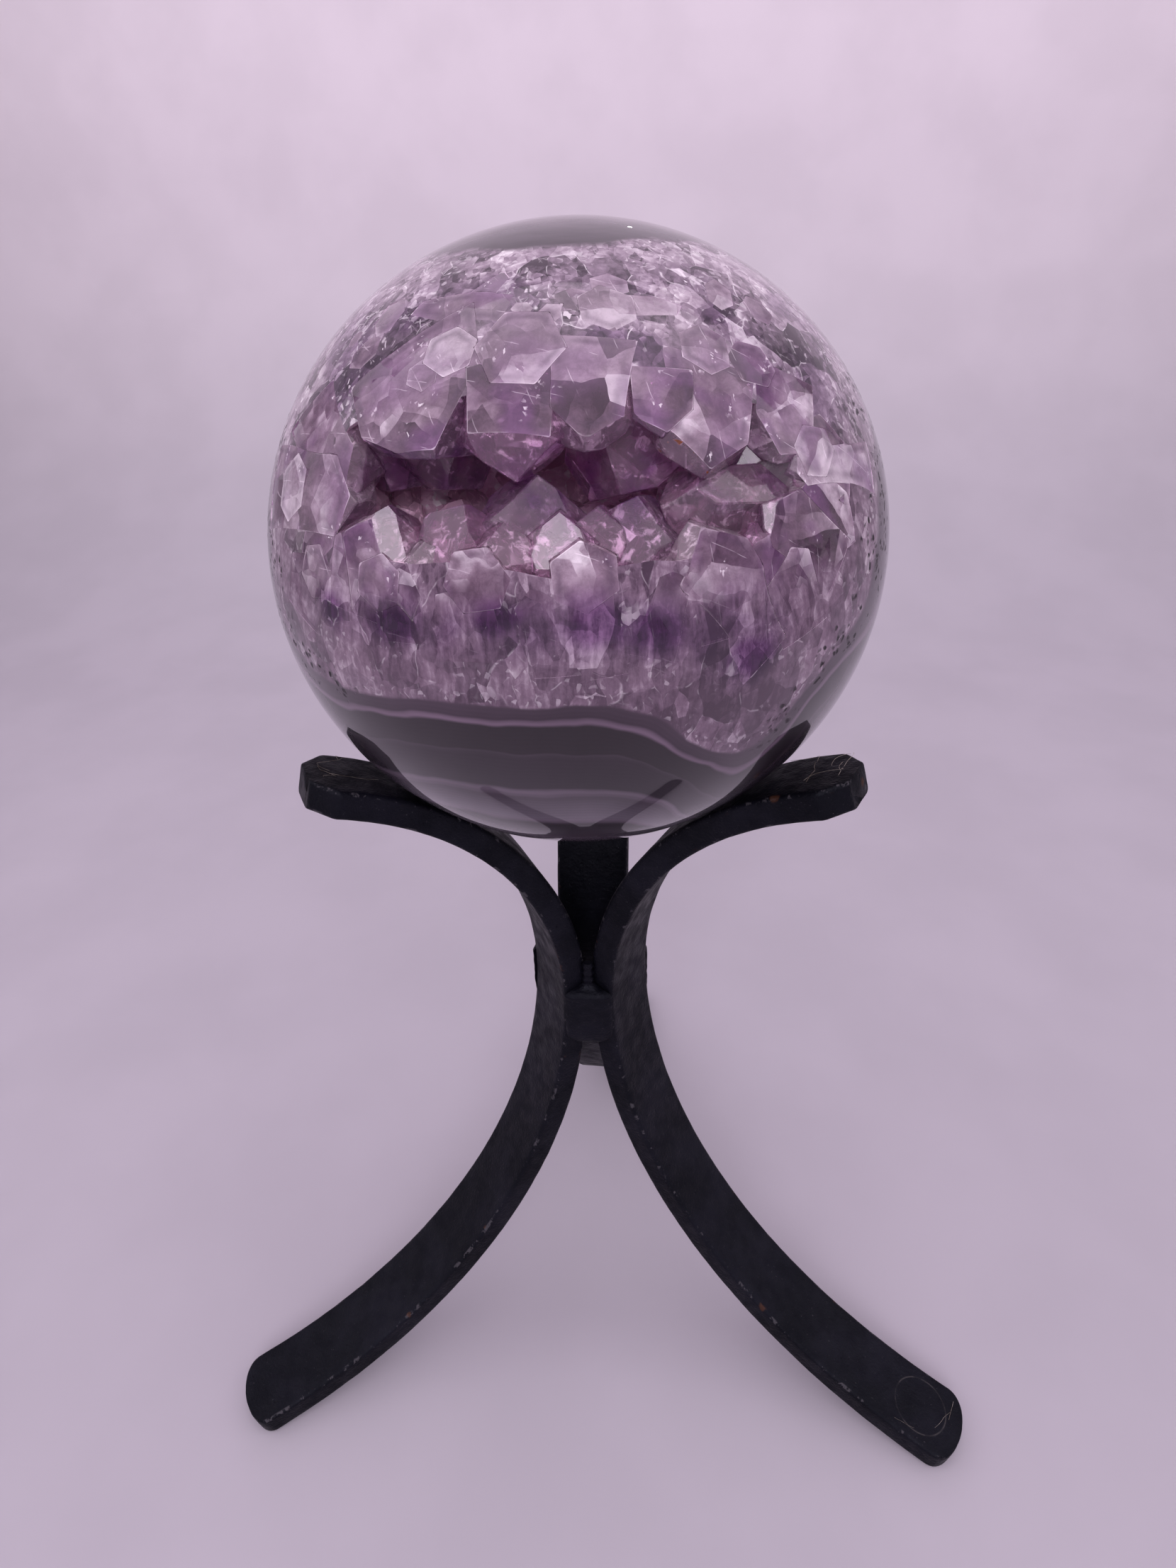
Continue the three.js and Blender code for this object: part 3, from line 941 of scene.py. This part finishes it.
def strata(g, place):
    """Depth in the stone: near 0 at the hollow, 1 where the crystals end and the agate begins."""
    x, y, z = g.split(g.warp(place, 13, 1.6))
    dip = (x - DIP_PLACE) / DIP_WIDTH
    dip = g.math("EXPONENT", dip * dip * -1.0)
    left = g.band(x, -16.0, -34.0, 0.0, 3.0)
    below = dip * DIP_DEPTH + REACH_BELOW + left
    height = z - GROWTH_HEIGHT
    down = g.math("MINIMUM", height, 0.0) / below
    up = g.most(height, 0.0) / REACH_ABOVE
    across = x / REACH_ASIDE
    deep = (y + MOUTH_DEPTH) / REACH_INWARDS
    total = 0.0
    for part in (across, deep, down + up):
        total = total + abs(part) ** 6.0
    return total ** (1 / 6), g.split(place)


def violet_level(g, depth, place):
    """How violet the stone is: a weak band a little way out from the hollow, and stronger patches."""
    patch = g.band(g.noise(place, 7.5, 3), 0.4, 0.6, 0.1, 0.6)
    level = g.peak(depth, 0.56, 0.22) * patch
    loose = g.scaled(g.warp(place, 3.5, 1.6, 4), (0.7, 1.0, 1.0))
    for middle, reach in VIOLET_PATCHES:
        away = g.vector("DISTANCE", loose, (0.7 * middle[0], middle[1], middle[2]), out="Value")
        level = g.most(level, g.band(away, 0.25 * reach, reach, 0.95, 0.0))
    return level


def broken_tone(g, place, upper):
    """Tone of broken crystal at three sizes, drawn out the way it grew, with painted shading across each
    piece, and how each piece leans.
    """
    chunk_place = g.scaled(growth(g, g.warp(place, 4, 1.0, 1)), (1.0, 1.0, 0.5))
    chunk, chunk_own = facets(g, chunk_place, 5.5, 1.2)
    shard_place = g.scaled(growth(g, g.warp(place, 3, 0.6, 1)), (1.0, 1.0, 0.6))
    shard, shard_own = facets(g, shard_place, 2.2, 1.7)
    fleck, fleck_own = facets(g, g.scaled(g.warp(place, 2.0, 0.5, 1), (1.0, 1.0, 0.7)), 0.8, 1.6)
    fibre_place = g.scaled(growth(g, g.warp(place, 4, 0.7)), (1.0, 1.0, 0.14))
    fibres = g.noise(fibre_place, 0.8, 4, 0.62)
    smoke = g.noise(g.warp(place, 3, 1.5), 3.2, 6, 0.7)
    scattered = upper * g.band(g.noise(place, 7, 2), 0.4, 0.6)
    small = g.number(scattered, 0.07, 0.3)
    tone = shard * 0.22 + fleck * small
    tone = chunk * 0.36 + tone
    tone = tone + (smoke - 0.5)
    streak = g.number(upper, 0.9, 0.25)
    tone = tone + (fibres - 0.5) * streak
    pieces = {
        "shard": shard,
        "fleck": fleck,
        "owns": (chunk_own, shard_own, fleck_own),
        "places": (chunk_place, shard_place),
    }
    return tone + 0.13, pieces


def columns_colour(g, tone, depth, place):
    """Columns of crystal below the hollow, dark violet in places and milky where they begin."""
    columns = g.ramp(tone, COLUMNS)
    violet = g.ramp(tone, DEEP_VIOLET)
    milky = g.ramp(tone, MILKY_FEET)
    foot = g.band(g.noise(place, 3) * 0.2 + depth, 0.72, 0.9)
    lower = g.mix(foot, columns, milky)
    return g.mix(violet_level(g, depth, place), lower, violet)


def agate_colour(g, depth, place):
    """Fine bands that follow the crystals' edge, dark below and grey above."""
    distance = (depth - 1.0) * AGATE_DEPTH
    soft = distance + (g.noise(place, 9) - 0.5) * 1.2
    bands = g.ramp(soft / AGATE_SPAN, AGATE_BANDS)
    fine = g.math("SINE", soft * 9.0)
    ragged = g.noise(g.scaled(g.warp(place, 9, 1.2), (0.08, 0.3, 1.0)), 0.9, 4, 0.6)
    height = g.split(place)[2]
    top_streaks = (ragged - 0.5) * g.band(height, 30.0, 40.0, 0.0, 1.6)
    shade = fine * 0.05 + 1.0 + top_streaks
    shade = shade * g.band(g.noise(place, 16), 0.3, 0.7, 0.85, 1.15)
    top = g.band(height, 34.0, 46.0)
    bands = g.mix(top * 0.85, bands, (0.04, 0.032, 0.042))
    return g.shaded(bands, shade)


def skin_material():
    """The polished skin: broken crystal that darkens to violet, a milky edge, and banded agate."""
    g = Graph("polished_amethyst")
    place = g.millimetres()
    depth, (x, y, z) = strata(g, place)
    stone = g.band(depth, 0.985, 1.01)
    upper = g.band(g.noise(place, 9) * 8.0 + z, 19.0, 29.0)

    # Each zone's own range from dark to light
    tone, pieces = broken_tone(g, place, upper)
    shard, fleck = pieces["shard"], pieces["fleck"]
    violet = g.ramp(tone, DEEP_VIOLET)
    reach = g.noise(place, 6) * 0.3 + depth
    above = g.mix(g.band(reach, 0.45, 0.8), g.ramp(tone, COLUMNS), g.ramp(tone, SHATTERED))
    cloud = g.band(g.noise(place, 10, 2), 0.44, 0.6) * g.peak(depth, 0.62, 0.4)
    cloud = g.most(cloud * 0.75, violet_level(g, depth, place) * 0.8)
    above = g.mix(cloud, above, violet)
    colour = g.mix(upper, columns_colour(g, tone, depth, place), above)

    # Bright broken faces, white fractures with painted glints on them, and thin light cracks
    lively = g.band(g.noise(place, 6, 3), 0.45, 0.65)
    lively = lively * g.number(upper, 0.3, 1.0)
    lively = g.most(lively, g.peak(depth, 0.96, 0.06) * 0.4)
    lively = lively * g.band(depth, 0.97, 1.01, 1.0, 0.0)
    # Painted glints: the lightest sides of the pieces are painted nearly white, along with the white of
    # real fractures
    bright = g.band(shard, 0.95, 1.1) * g.band(fleck, 0.3, 0.8, 0.3, 1.0)
    bright = g.most(bright, g.band(fleck, 0.98, 1.1) * 0.9)
    bright = bright * lively
    colour = g.mix(bright, colour, WHITE_OF_CRACKS_AND_GLINTS)
    broken = g.band(g.noise(place, 2.0, 2), 0.5, 0.62)
    chunk_edge = g.edges(pieces["places"][0], 5.5)
    shard_edge = g.edges(pieces["places"][1], 2.4)
    line = g.band(chunk_edge, 0.0, 0.018, 1.0, 0.0) * broken
    cracked = broken * lively
    line = g.most(line, scratches(g, place, 6.0) * cracked)
    fine = g.band(shard_edge, 0.0, 0.04, 1.0, 0.0) * cracked
    line = g.most(line, fine) * (1.0 - stone)
    colour = g.mix(line * g.number(upper, 0.3, 0.8), colour, WHITE_OF_CRACKS_AND_GLINTS)

    # Chains of tiny pits where the agate begins at the sides, sunk by a bump and painted near black as
    # painted shade in them
    pits = g.cells(g.warp(place, 3, 1.4), 1.4, out="Distance")
    pits = g.band(pits, 0.2, 0.42, 1.0, 0.0) * g.band(g.noise(place, 4, 3), 0.47, 0.53)
    pits = pits * g.band(g.peak(depth, 0.98, 0.12), 0.0, 0.4)
    pits = pits * g.band(abs(x), 24.0, 32.0)
    colour = g.mix(stone, colour, agate_colour(g, depth, place))
    # Painted shade: the pits are painted near black
    colour = g.mix(pits, colour, (0.02, 0.015, 0.02))

    # Facets lean each its own way under the polish
    lean = (1.0 - stone) * 0.5
    normal = None
    for own, strength in zip(pieces["owns"], (lean, lean, lively * 0.9)):
        normal = g.tilted(own, strength, normal)
    normal = g.bump(pits * -1.0, 0.25, 1.0, normal)
    g.set(
        Base_Color=colour,
        Roughness=g.number(stone, g.number(bright, 0.4, 0.12), 0.4),
        Metallic=bright * 0.6,
        Normal=normal,
        Coat_Weight=1.0 - pits * 0.9,
        Coat_Roughness=0.02,
        Coat_IOR=1.45,
        IOR=QUARTZ_IOR,
        Specular_IOR_Level=0.15,
    )
    return g.material


# Colours of the two rough walls: low and high, and the painted highlight on the lightest broken faces
WALL_LOOKS = {
    "hollow": ((0.82, 0.52, 0.7), (0.96, 0.76, 0.89), (0.97, 0.89, 0.94)),
    "pocket": ((0.5, 0.3, 0.5), (0.92, 0.72, 0.9), (0.98, 0.93, 0.98)),
}


def wall_material(kind):
    """A rough crystal wall: mauve in the open hollow, and lighter where it shows through a crystal, with
    painted shading across its broken pieces and painted highlights on the lightest.
    """
    low, high, light = WALL_LOOKS[kind]
    g = Graph("wall_" + kind)
    place = g.millimetres()
    piece, tone = facets(g, g.warp(place, 2, 0.8), 3.2, 1.4)
    flake, flake_own = facets(g, g.warp(place, 1, 0.5), 1.3, 1.4)
    level = piece * 0.55 + (flake * 0.3 + g.noise(place, 4, 3))
    colour = g.mix(g.band(level, 0.55, 1.25), low, high)
    # Painted highlight: the lightest side of the broken flakes goes nearly white
    colour = g.mix(g.band(flake, 0.85, 1.0, 0.0, 0.8), colour, light)
    normal = g.tilted(flake_own, 0.6, g.tilted(tone, 0.8))
    g.set(
        Base_Color=colour,
        Roughness=g.band(g.noise(place, 1.2), 0.3, 0.7, 0.18, 0.4),
        Normal=g.bump(g.noise(place, 0.7, 3), 0.15, 0.6, normal),
        IOR=QUARTZ_IOR,
    )
    return g.material


# Each kind of crystal: pale and deep colour, how clear it is, and the share of veils inside it
CRYSTAL_LOOKS = {
    "smoky": ((0.78, 0.55, 0.72), (0.52, 0.26, 0.52), 0.88, 0.4),
    "violet": ((0.86, 0.54, 0.79), (0.56, 0.22, 0.6), 0.88, 0.4),
    "tipped": ((0.78, 0.52, 0.74), (0.36, 0.08, 0.48), 0.88, 0.4),
    "milky": ((0.78, 0.62, 0.74), (0.6, 0.38, 0.58), 0.8, 0.5),
    "rusty": ((0.74, 0.52, 0.67), (0.46, 0.24, 0.44), 0.85, 0.45),
    "clear": ((0.94, 0.82, 0.91), (0.82, 0.66, 0.82), 0.88, 0.4),
    "lining": ((0.93, 0.64, 0.81), (0.82, 0.46, 0.66), 0.6, 0.4),
}


def crystal_material(kind):
    """Clear quartz, violet towards the tips that meet in the hollow, with veils and growth lines."""
    pale, deep, clear, veils = CRYSTAL_LOOKS[kind]
    g = Graph("crystal_" + kind)
    place = g.millimetres()
    _, _, z = g.split(place)
    near_tip = g.peak(z + g.noise(place, 5) * 6.0, 22.5, 8.0)
    patch = g.band(g.noise(place, 4.5, 2), 0.4, 0.65, 0.0, 0.85)
    colour = g.mix(near_tip * patch, pale, deep)
    wisp = g.band(g.noise(g.warp(place, 3, 2.0), 1.6, 4, 0.66), 0.5, 0.7)
    veil = wisp * (veils * g.band(near_tip, 0, 1, 1.4, 0.6))
    clearness = g.math("SUBTRACT", clear, veil, clamp=True)
    if kind == "rusty":
        stain = g.band(g.noise(place, 1.3, 3), 0.6, 0.66) * g.band(g.noise(place, 5), 0.45, 0.6)
        colour = g.mix(stain, colour, RUST)
        clearness = g.math("SUBTRACT", clearness, stain * 0.6, clamp=True)
    striped = g.noise(g.scaled(place, (0.25, 0.25, 2.2)), 0.8, 2)
    normal = g.bump(striped, 0.02, 0.25)
    normal = g.bump(g.noise(place, 2.6, 2), 0.06, 0.3, normal)
    g.set(
        Base_Color=colour,
        Roughness=g.band(g.noise(place, 2.2, 3), 0.45, 0.75, 0.0, 0.06),
        Transmission_Weight=clearness,
        Normal=normal,
        IOR=QUARTZ_IOR,
    )
    return g.material


def cut_material():
    """Crystals cut flush and polished: half clear, each with its own tone, clouds and broken pieces with
    painted shading, and painted rim highlights and glints.
    """
    g = Graph("cut_quartz")
    place = g.millimetres()
    depth, (_, _, z) = strata(g, place)
    tone = g.attribute("tone")
    inside = g.attribute("inside")
    apart = tone * 90.0
    own_place = g.vector("ADD", place, g.joined(apart, apart, apart))
    piece, piece_own = facets(g, g.warp(own_place, 5, 0.8), 8.0, 2.0)
    shard, shard_own = facets(g, g.warp(own_place, 3, 0.5), 3.0, 1.6)
    smoke = g.noise(g.warp(own_place, 4, 1.5), 3.4, 7, 0.72)
    crushed = g.band(g.noise(own_place, 6, 2), 0.48, 0.6, 0.02, 0.32)
    level = shard * crushed + tone * 0.34
    level = piece * 0.38 + level
    level = level + (smoke * 0.5 + -0.19)
    colour = g.ramp(level, CUT_FACES)
    violet = g.band(g.noise(own_place, 8, 2), 0.5, 0.66) * g.band(z, 28.0, 35.0, 0.6, 0.3)
    violet = g.most(violet, violet_level(g, depth, place) * 0.85)
    colour = g.mix(violet, colour, (0.24, 0.095, 0.27))
    colour = g.mix(g.band(z, 28.0, 38.0) * 0.35, colour, (0.56, 0.46, 0.55))

    # Low down they run into the columns of the skin
    below = g.band(g.noise(place, 4, 2) * 5.0 + z, 13.0, 7.5)
    low_tone, _ = broken_tone(g, place, 0.0)
    colour = g.mix(below, colour, columns_colour(g, low_tone, depth, place))
    clear = g.band(below, 0.0, 1.0, 1.0, 0.2)

    # Painted highlights on the rims, a painted dark band just inside them, real cracks, and painted
    # sparkle glints
    # Painted shade: a darker band just inside each cut face's edge stands in for its side faces seen
    # through the polish
    dim = g.peak(inside, 0.8, 0.7) * g.band(g.noise(own_place, 5), 0.35, 0.6, 0.1, 0.5)
    colour = g.mix(dim * clear, colour, (0.11, 0.06, 0.12))
    crack = scratches(g, own_place, 7.0) * g.band(g.noise(own_place, 3), 0.5, 0.62, 0.0, 0.35)
    # Painted highlight: a thin light line along the edge of each cut face
    painted_rim_glint = g.band(inside, 0.03, 0.12, 1.0, 0.0) * g.band(g.noise(place, 4, 3), 0.4, 0.66, 0.0, 0.4)
    flake = g.cells(g.scaled(g.warp(own_place, 1.2, 0.8), (1.0, 0.6, 0.6)), 0.3)
    # Painted glints: small scattered flecks painted white
    painted_sparkle = g.band(g.split(flake)[0], 0.86, 0.94) * g.band(g.noise(own_place, 4, 3), 0.6, 0.68)
    cracks_and_glints = g.most(g.most(crack, painted_rim_glint), painted_sparkle * 0.7)
    cracks_and_glints = cracks_and_glints * clear
    colour = g.mix(cracks_and_glints, colour, WHITE_OF_CRACKS_AND_GLINTS)
    clearness = g.band(smoke, 0.35, 0.65, 0.42, 0.2) * clear
    g.set(
        Base_Color=colour,
        Roughness=g.band(g.noise(place, 2), 0.4, 0.7, 0.02, 0.1),
        Transmission_Weight=g.math("SUBTRACT", clearness, cracks_and_glints, clamp=True),
        Normal=g.tilted(shard_own, 0.12, g.tilted(piece_own, 0.2)),
        IOR=QUARTZ_IOR,
    )
    return g.material


def hair_material():
    """Pale dusty fibres."""
    g = Graph("dust_hair")
    tone = g.noise(g.millimetres(), 1.5, 3)
    colour = g.mix(g.band(tone, 0.35, 0.65), (0.1, 0.07, 0.05), (0.36, 0.32, 0.29))
    g.set(Base_Color=colour, Roughness=0.8)
    return g.material


def iron_material(name, ring=None):
    """Black paint over forged iron, with grain, dull patches, dust, worn edges and a little rust."""
    g = Graph(name)
    place = g.millimetres()
    patch = g.band(g.noise(place, 11, 3), 0.35, 0.7)
    colour = g.mix(patch, (0.0012, 0.0012, 0.003), (0.005, 0.0048, 0.009))
    dust = g.band(g.noise(place, 0.45, 3, 0.7), 0.66, 0.74)
    colour = g.mix(dust * 0.25, colour, (0.2, 0.19, 0.21))
    edge = g.attribute("edge")
    chip = g.band(edge, 0.5, 0.95) * g.band(g.noise(place, 2.3, 4, 0.7), 0.56, 0.62)
    colour = g.mix(chip * 0.7, colour, (0.07, 0.065, 0.075))
    stain = g.band(g.noise(place, 5, 3), 0.66, 0.72) * g.band(edge, 0.2, 0.6)
    colour = g.mix(stain * 0.6, colour, (0.07, 0.028, 0.014))
    if ring:
        away = g.vector("DISTANCE", place, tuple(ring), out="Value")
        wide = g.band(abs(away - RING_RADIUS), 0.0, 0.22, 1.0, 0.0)
        wide = wide * g.band(g.noise(place, 2.5, 3), 0.4, 0.6, 0.2, 1.0)
        colour = g.mix(wide * 0.35, colour, (0.11, 0.1, 0.1))
    grain = g.noise(place, 0.55, 3, 0.6)
    coarse = g.noise(place, 1.7, 2)
    pits = g.band(g.cells(g.warp(place, 2, 0.7), 2.1, out="Distance"), 0.08, 0.2)
    normal = g.bump(coarse, 0.22, 0.7)
    normal = g.bump(grain, 0.16, 1.0, normal)
    normal = g.bump(pits + chip * -0.7, 0.12, 0.6, normal)
    g.set(
        Base_Color=colour,
        Roughness=g.band(g.noise(place, 3, 3), 0.3, 0.75, 0.42, 0.66),
        Specular_Tint=(0.8, 0.85, 1.0),
        Normal=normal,
        Specular_IOR_Level=0.14,
    )
    return g.material


def floor_material():
    """Pale paper, with painted light: darker on the floor and lighter up the wall behind, and darker out
    to the sides.
    """
    g = Graph("pale_floor")
    place = g.millimetres()
    x, _, height = g.split(place)
    # Painted light: the paper is painted darker low down and lighter up the wall
    colour = g.mix(g.band(height, 0.0, 420.0), (0.44, 0.41, 0.468), (0.97, 0.89, 0.965))
    # Painted shade: darker out to the sides
    away = g.band(abs(x), 200.0, 1000.0, 1.0, 0.55)
    grain = g.band(g.noise(place, 60, 3), 0.3, 0.7, 0.97, 1.03)
    colour = g.shaded(g.shaded(colour, away), grain)
    g.set(Base_Color=colour, Roughness=0.8, Normal=g.bump(g.noise(place, 0.8, 2), 0.05, 0.15))
    return g.material


# Stage, light and camera
def backdrop():
    """A floor that curves up into a wall behind the stand."""
    half, front, bend_at, bend = 1.6, -1.4, 0.34, 0.3
    profile = [(front, 0.0)] + [(bend_at * k / 8 + front * (1 - k / 8), 0.0) for k in range(1, 8)]
    for k in range(17):
        a = k / 16 * math.pi / 2
        profile.append((bend_at + bend * math.sin(a), bend * (1 - math.cos(a))))
    profile.append((bend_at + bend, 1.9))
    corners = [(x, y, z) for y, z in profile for x in (-half, half)]
    faces = [(2 * i, 2 * i + 1, 2 * i + 3, 2 * i + 2) for i in range(len(profile) - 1)]
    mesh = mesh_of("backdrop", corners, faces)
    mesh.shade_smooth()
    mesh.materials.append(floor_material())
    made = mesh_object("backdrop", mesh, (0, 0, 0))


def soft_light(name, place, size, watts, colour, target):
    light = bpy.data.lights.new(name, "AREA")
    light.shape = "DISK"
    light.size = size
    light.energy = watts
    light.color = colour
    made = linked(name, light)
    made.location = place
    made.rotation_euler = (Vector(target) - Vector(place)).to_track_quat("-Z", "Y").to_euler()


# A tiny lamp behind the ball, whose reflection is the bright dot on the cap: place, size and watts
GLINT = (0.045, 0.502, 0.476), 0.006, 0.003

# The soft panel in front: place, size and watts
PANEL = (0.02, -1.1, 0.85), 0.6, 4.6


def sky():
    """Light from all round: bright above, dim on the side that the picture was taken from."""
    world = bpy.data.worlds.new("studio")
    bpy.context.scene.world = world
    world.use_nodes = True
    g = Graph.of_tree(world.node_tree)
    _, y, z = g.split(g.add("TexCoord", "Generated", {}))
    above = g.band(z, 0.05, 0.75)
    behind = g.band(y, -0.75, 0.1)
    level = above * 0.85 + (behind * 0.3 + 0.38)
    background = world.node_tree.nodes["Background"]
    background.inputs["Color"].default_value = (0.97, 0.87, 0.96, 1)
    g.put(background.inputs["Strength"], level)


def lights():
    sky()
    soft_light("front", *PANEL, (0.97, 0.9, 1.0), (0, 0, 0.19))
    soft_light("glint_0", *GLINT, (1.0, 0.98, 1.0), (0, 0, 0.2))


def camera():
    data = bpy.data.cameras.new("camera")
    long_side = max(PHOTO_SIZE)
    data.sensor_width = SENSOR
    data.lens = FOCAL_PIXELS * SENSOR / long_side
    data.shift_x = (PHOTO_SIZE[0] / 2 - LOOK_PIXEL[0]) / long_side
    data.shift_y = (LOOK_PIXEL[1] - PHOTO_SIZE[1] / 2) / long_side
    data.clip_start, data.clip_end = 0.005, 20
    made = linked("camera", data)
    level_ahead = Vector((math.sin(YAW), math.cos(YAW), 0))
    ahead = level_ahead * math.cos(PITCH) - Vector((0, 0, math.sin(PITCH)))
    right = ahead.cross(Vector((0, 0, 1))).normalized()
    up = right.cross(ahead)
    level_right = math.cos(ROLL) * right + math.sin(ROLL) * up
    level_up = math.cos(ROLL) * up - math.sin(ROLL) * right
    turn = Matrix((level_right, level_up, -ahead)).transposed()
    made.matrix_world = Matrix.Translation(BALL_MIDDLE + EYE * MM) @ turn.to_4x4()
    bpy.context.scene.camera = made


# Everything is made and put on its body
def finish_piece(made, node=None):
    """Brings a piece to metres and puts it on its body, in place of its CAD node if it has one."""
    to_metres(made)
    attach(made, "root")
    if node:
        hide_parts(node)


def stand_piece(name, mesh, paint, node=None):
    made = mesh_object(name, mesh, STAND_AXIS)
    made.data.materials.append(paint)
    finish_piece(made, node)


def build_stone():
    ball = ball_form()
    ball.data.transform(Matrix.Scale(SUNK, 4))
    crystals, pockets = large_crystals(ball)
    ball.data.transform(Matrix.Scale(1 / SUNK, 4))
    air = air_form()
    walls = [skin_material(), wall_material("hollow"), wall_material("pocket")]
    for made in (ball, air, *pockets):
        for material in walls:
            made.data.materials.append(material)
        mark(made, {"ball": "skin", "air": "hollow"}.get(made.name, "pocket"))
    carve(ball, [air, *pockets])
    materials = {kind: crystal_material(kind) for kind in KINDS}
    materials["cut"] = cut_material()
    hollow = join_crystals(crystals + lining_crystals(), materials)
    spare = ("pocket", "small", "air", "crystal")
    for made in list(bpy.context.scene.objects):
        if made.name.startswith(spare) and made.type == "MESH" and "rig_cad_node" not in made:
            remove([made])
    ball.data.set_sharp_from_angle(angle=math.radians(30))
    polish(ball.data, facets=False)
    ball.name = "polished_ball"
    finish_piece(ball, "amethyst_sphere")
    finish_piece(hollow, "crystal_crust")


def build_stand():
    paint = iron_material("black_paint")
    weld_paint = iron_material("weld_paint")
    ring = place_on_bar(math.radians(BARS["leg_front_right"]), RING_PLACE, 0, BAR_THICKNESS)
    ringed_paint = iron_material("black_paint_ringed", ring)
    for seed, (node, degrees) in enumerate(BARS.items()):
        mesh = bar_mesh(node, math.radians(degrees), seed)
        bar_paint = ringed_paint if node == "leg_front_right" else paint
        stand_piece("bar_" + node, mesh, bar_paint, node)
    fluff = hair_material()
    for seed, (node, near, thick, count) in enumerate(HAIR_PLACES):
        name = f"hairs_{seed}"
        mesh = hairs_mesh(name, math.radians(BARS[node]), near, thick, count, seed)
        stand_piece(name, mesh, fluff)
    for seed, (node, (degrees, half)) in enumerate(WELDS.items()):
        mesh = weld_mesh(node, math.radians(degrees), math.radians(half), seed)
        stand_piece("bead_" + node, mesh, weld_paint, node)


build_stone()
build_stand()
backdrop()
lights()
camera()
bpy.context.scene.view_settings.view_transform = "Standard"
light_paths = bpy.context.scene.cycles
light_paths.max_bounces = 20
light_paths.glossy_bounces = 12
light_paths.transmission_bounces = 20
light_paths.diffuse_bounces = 6
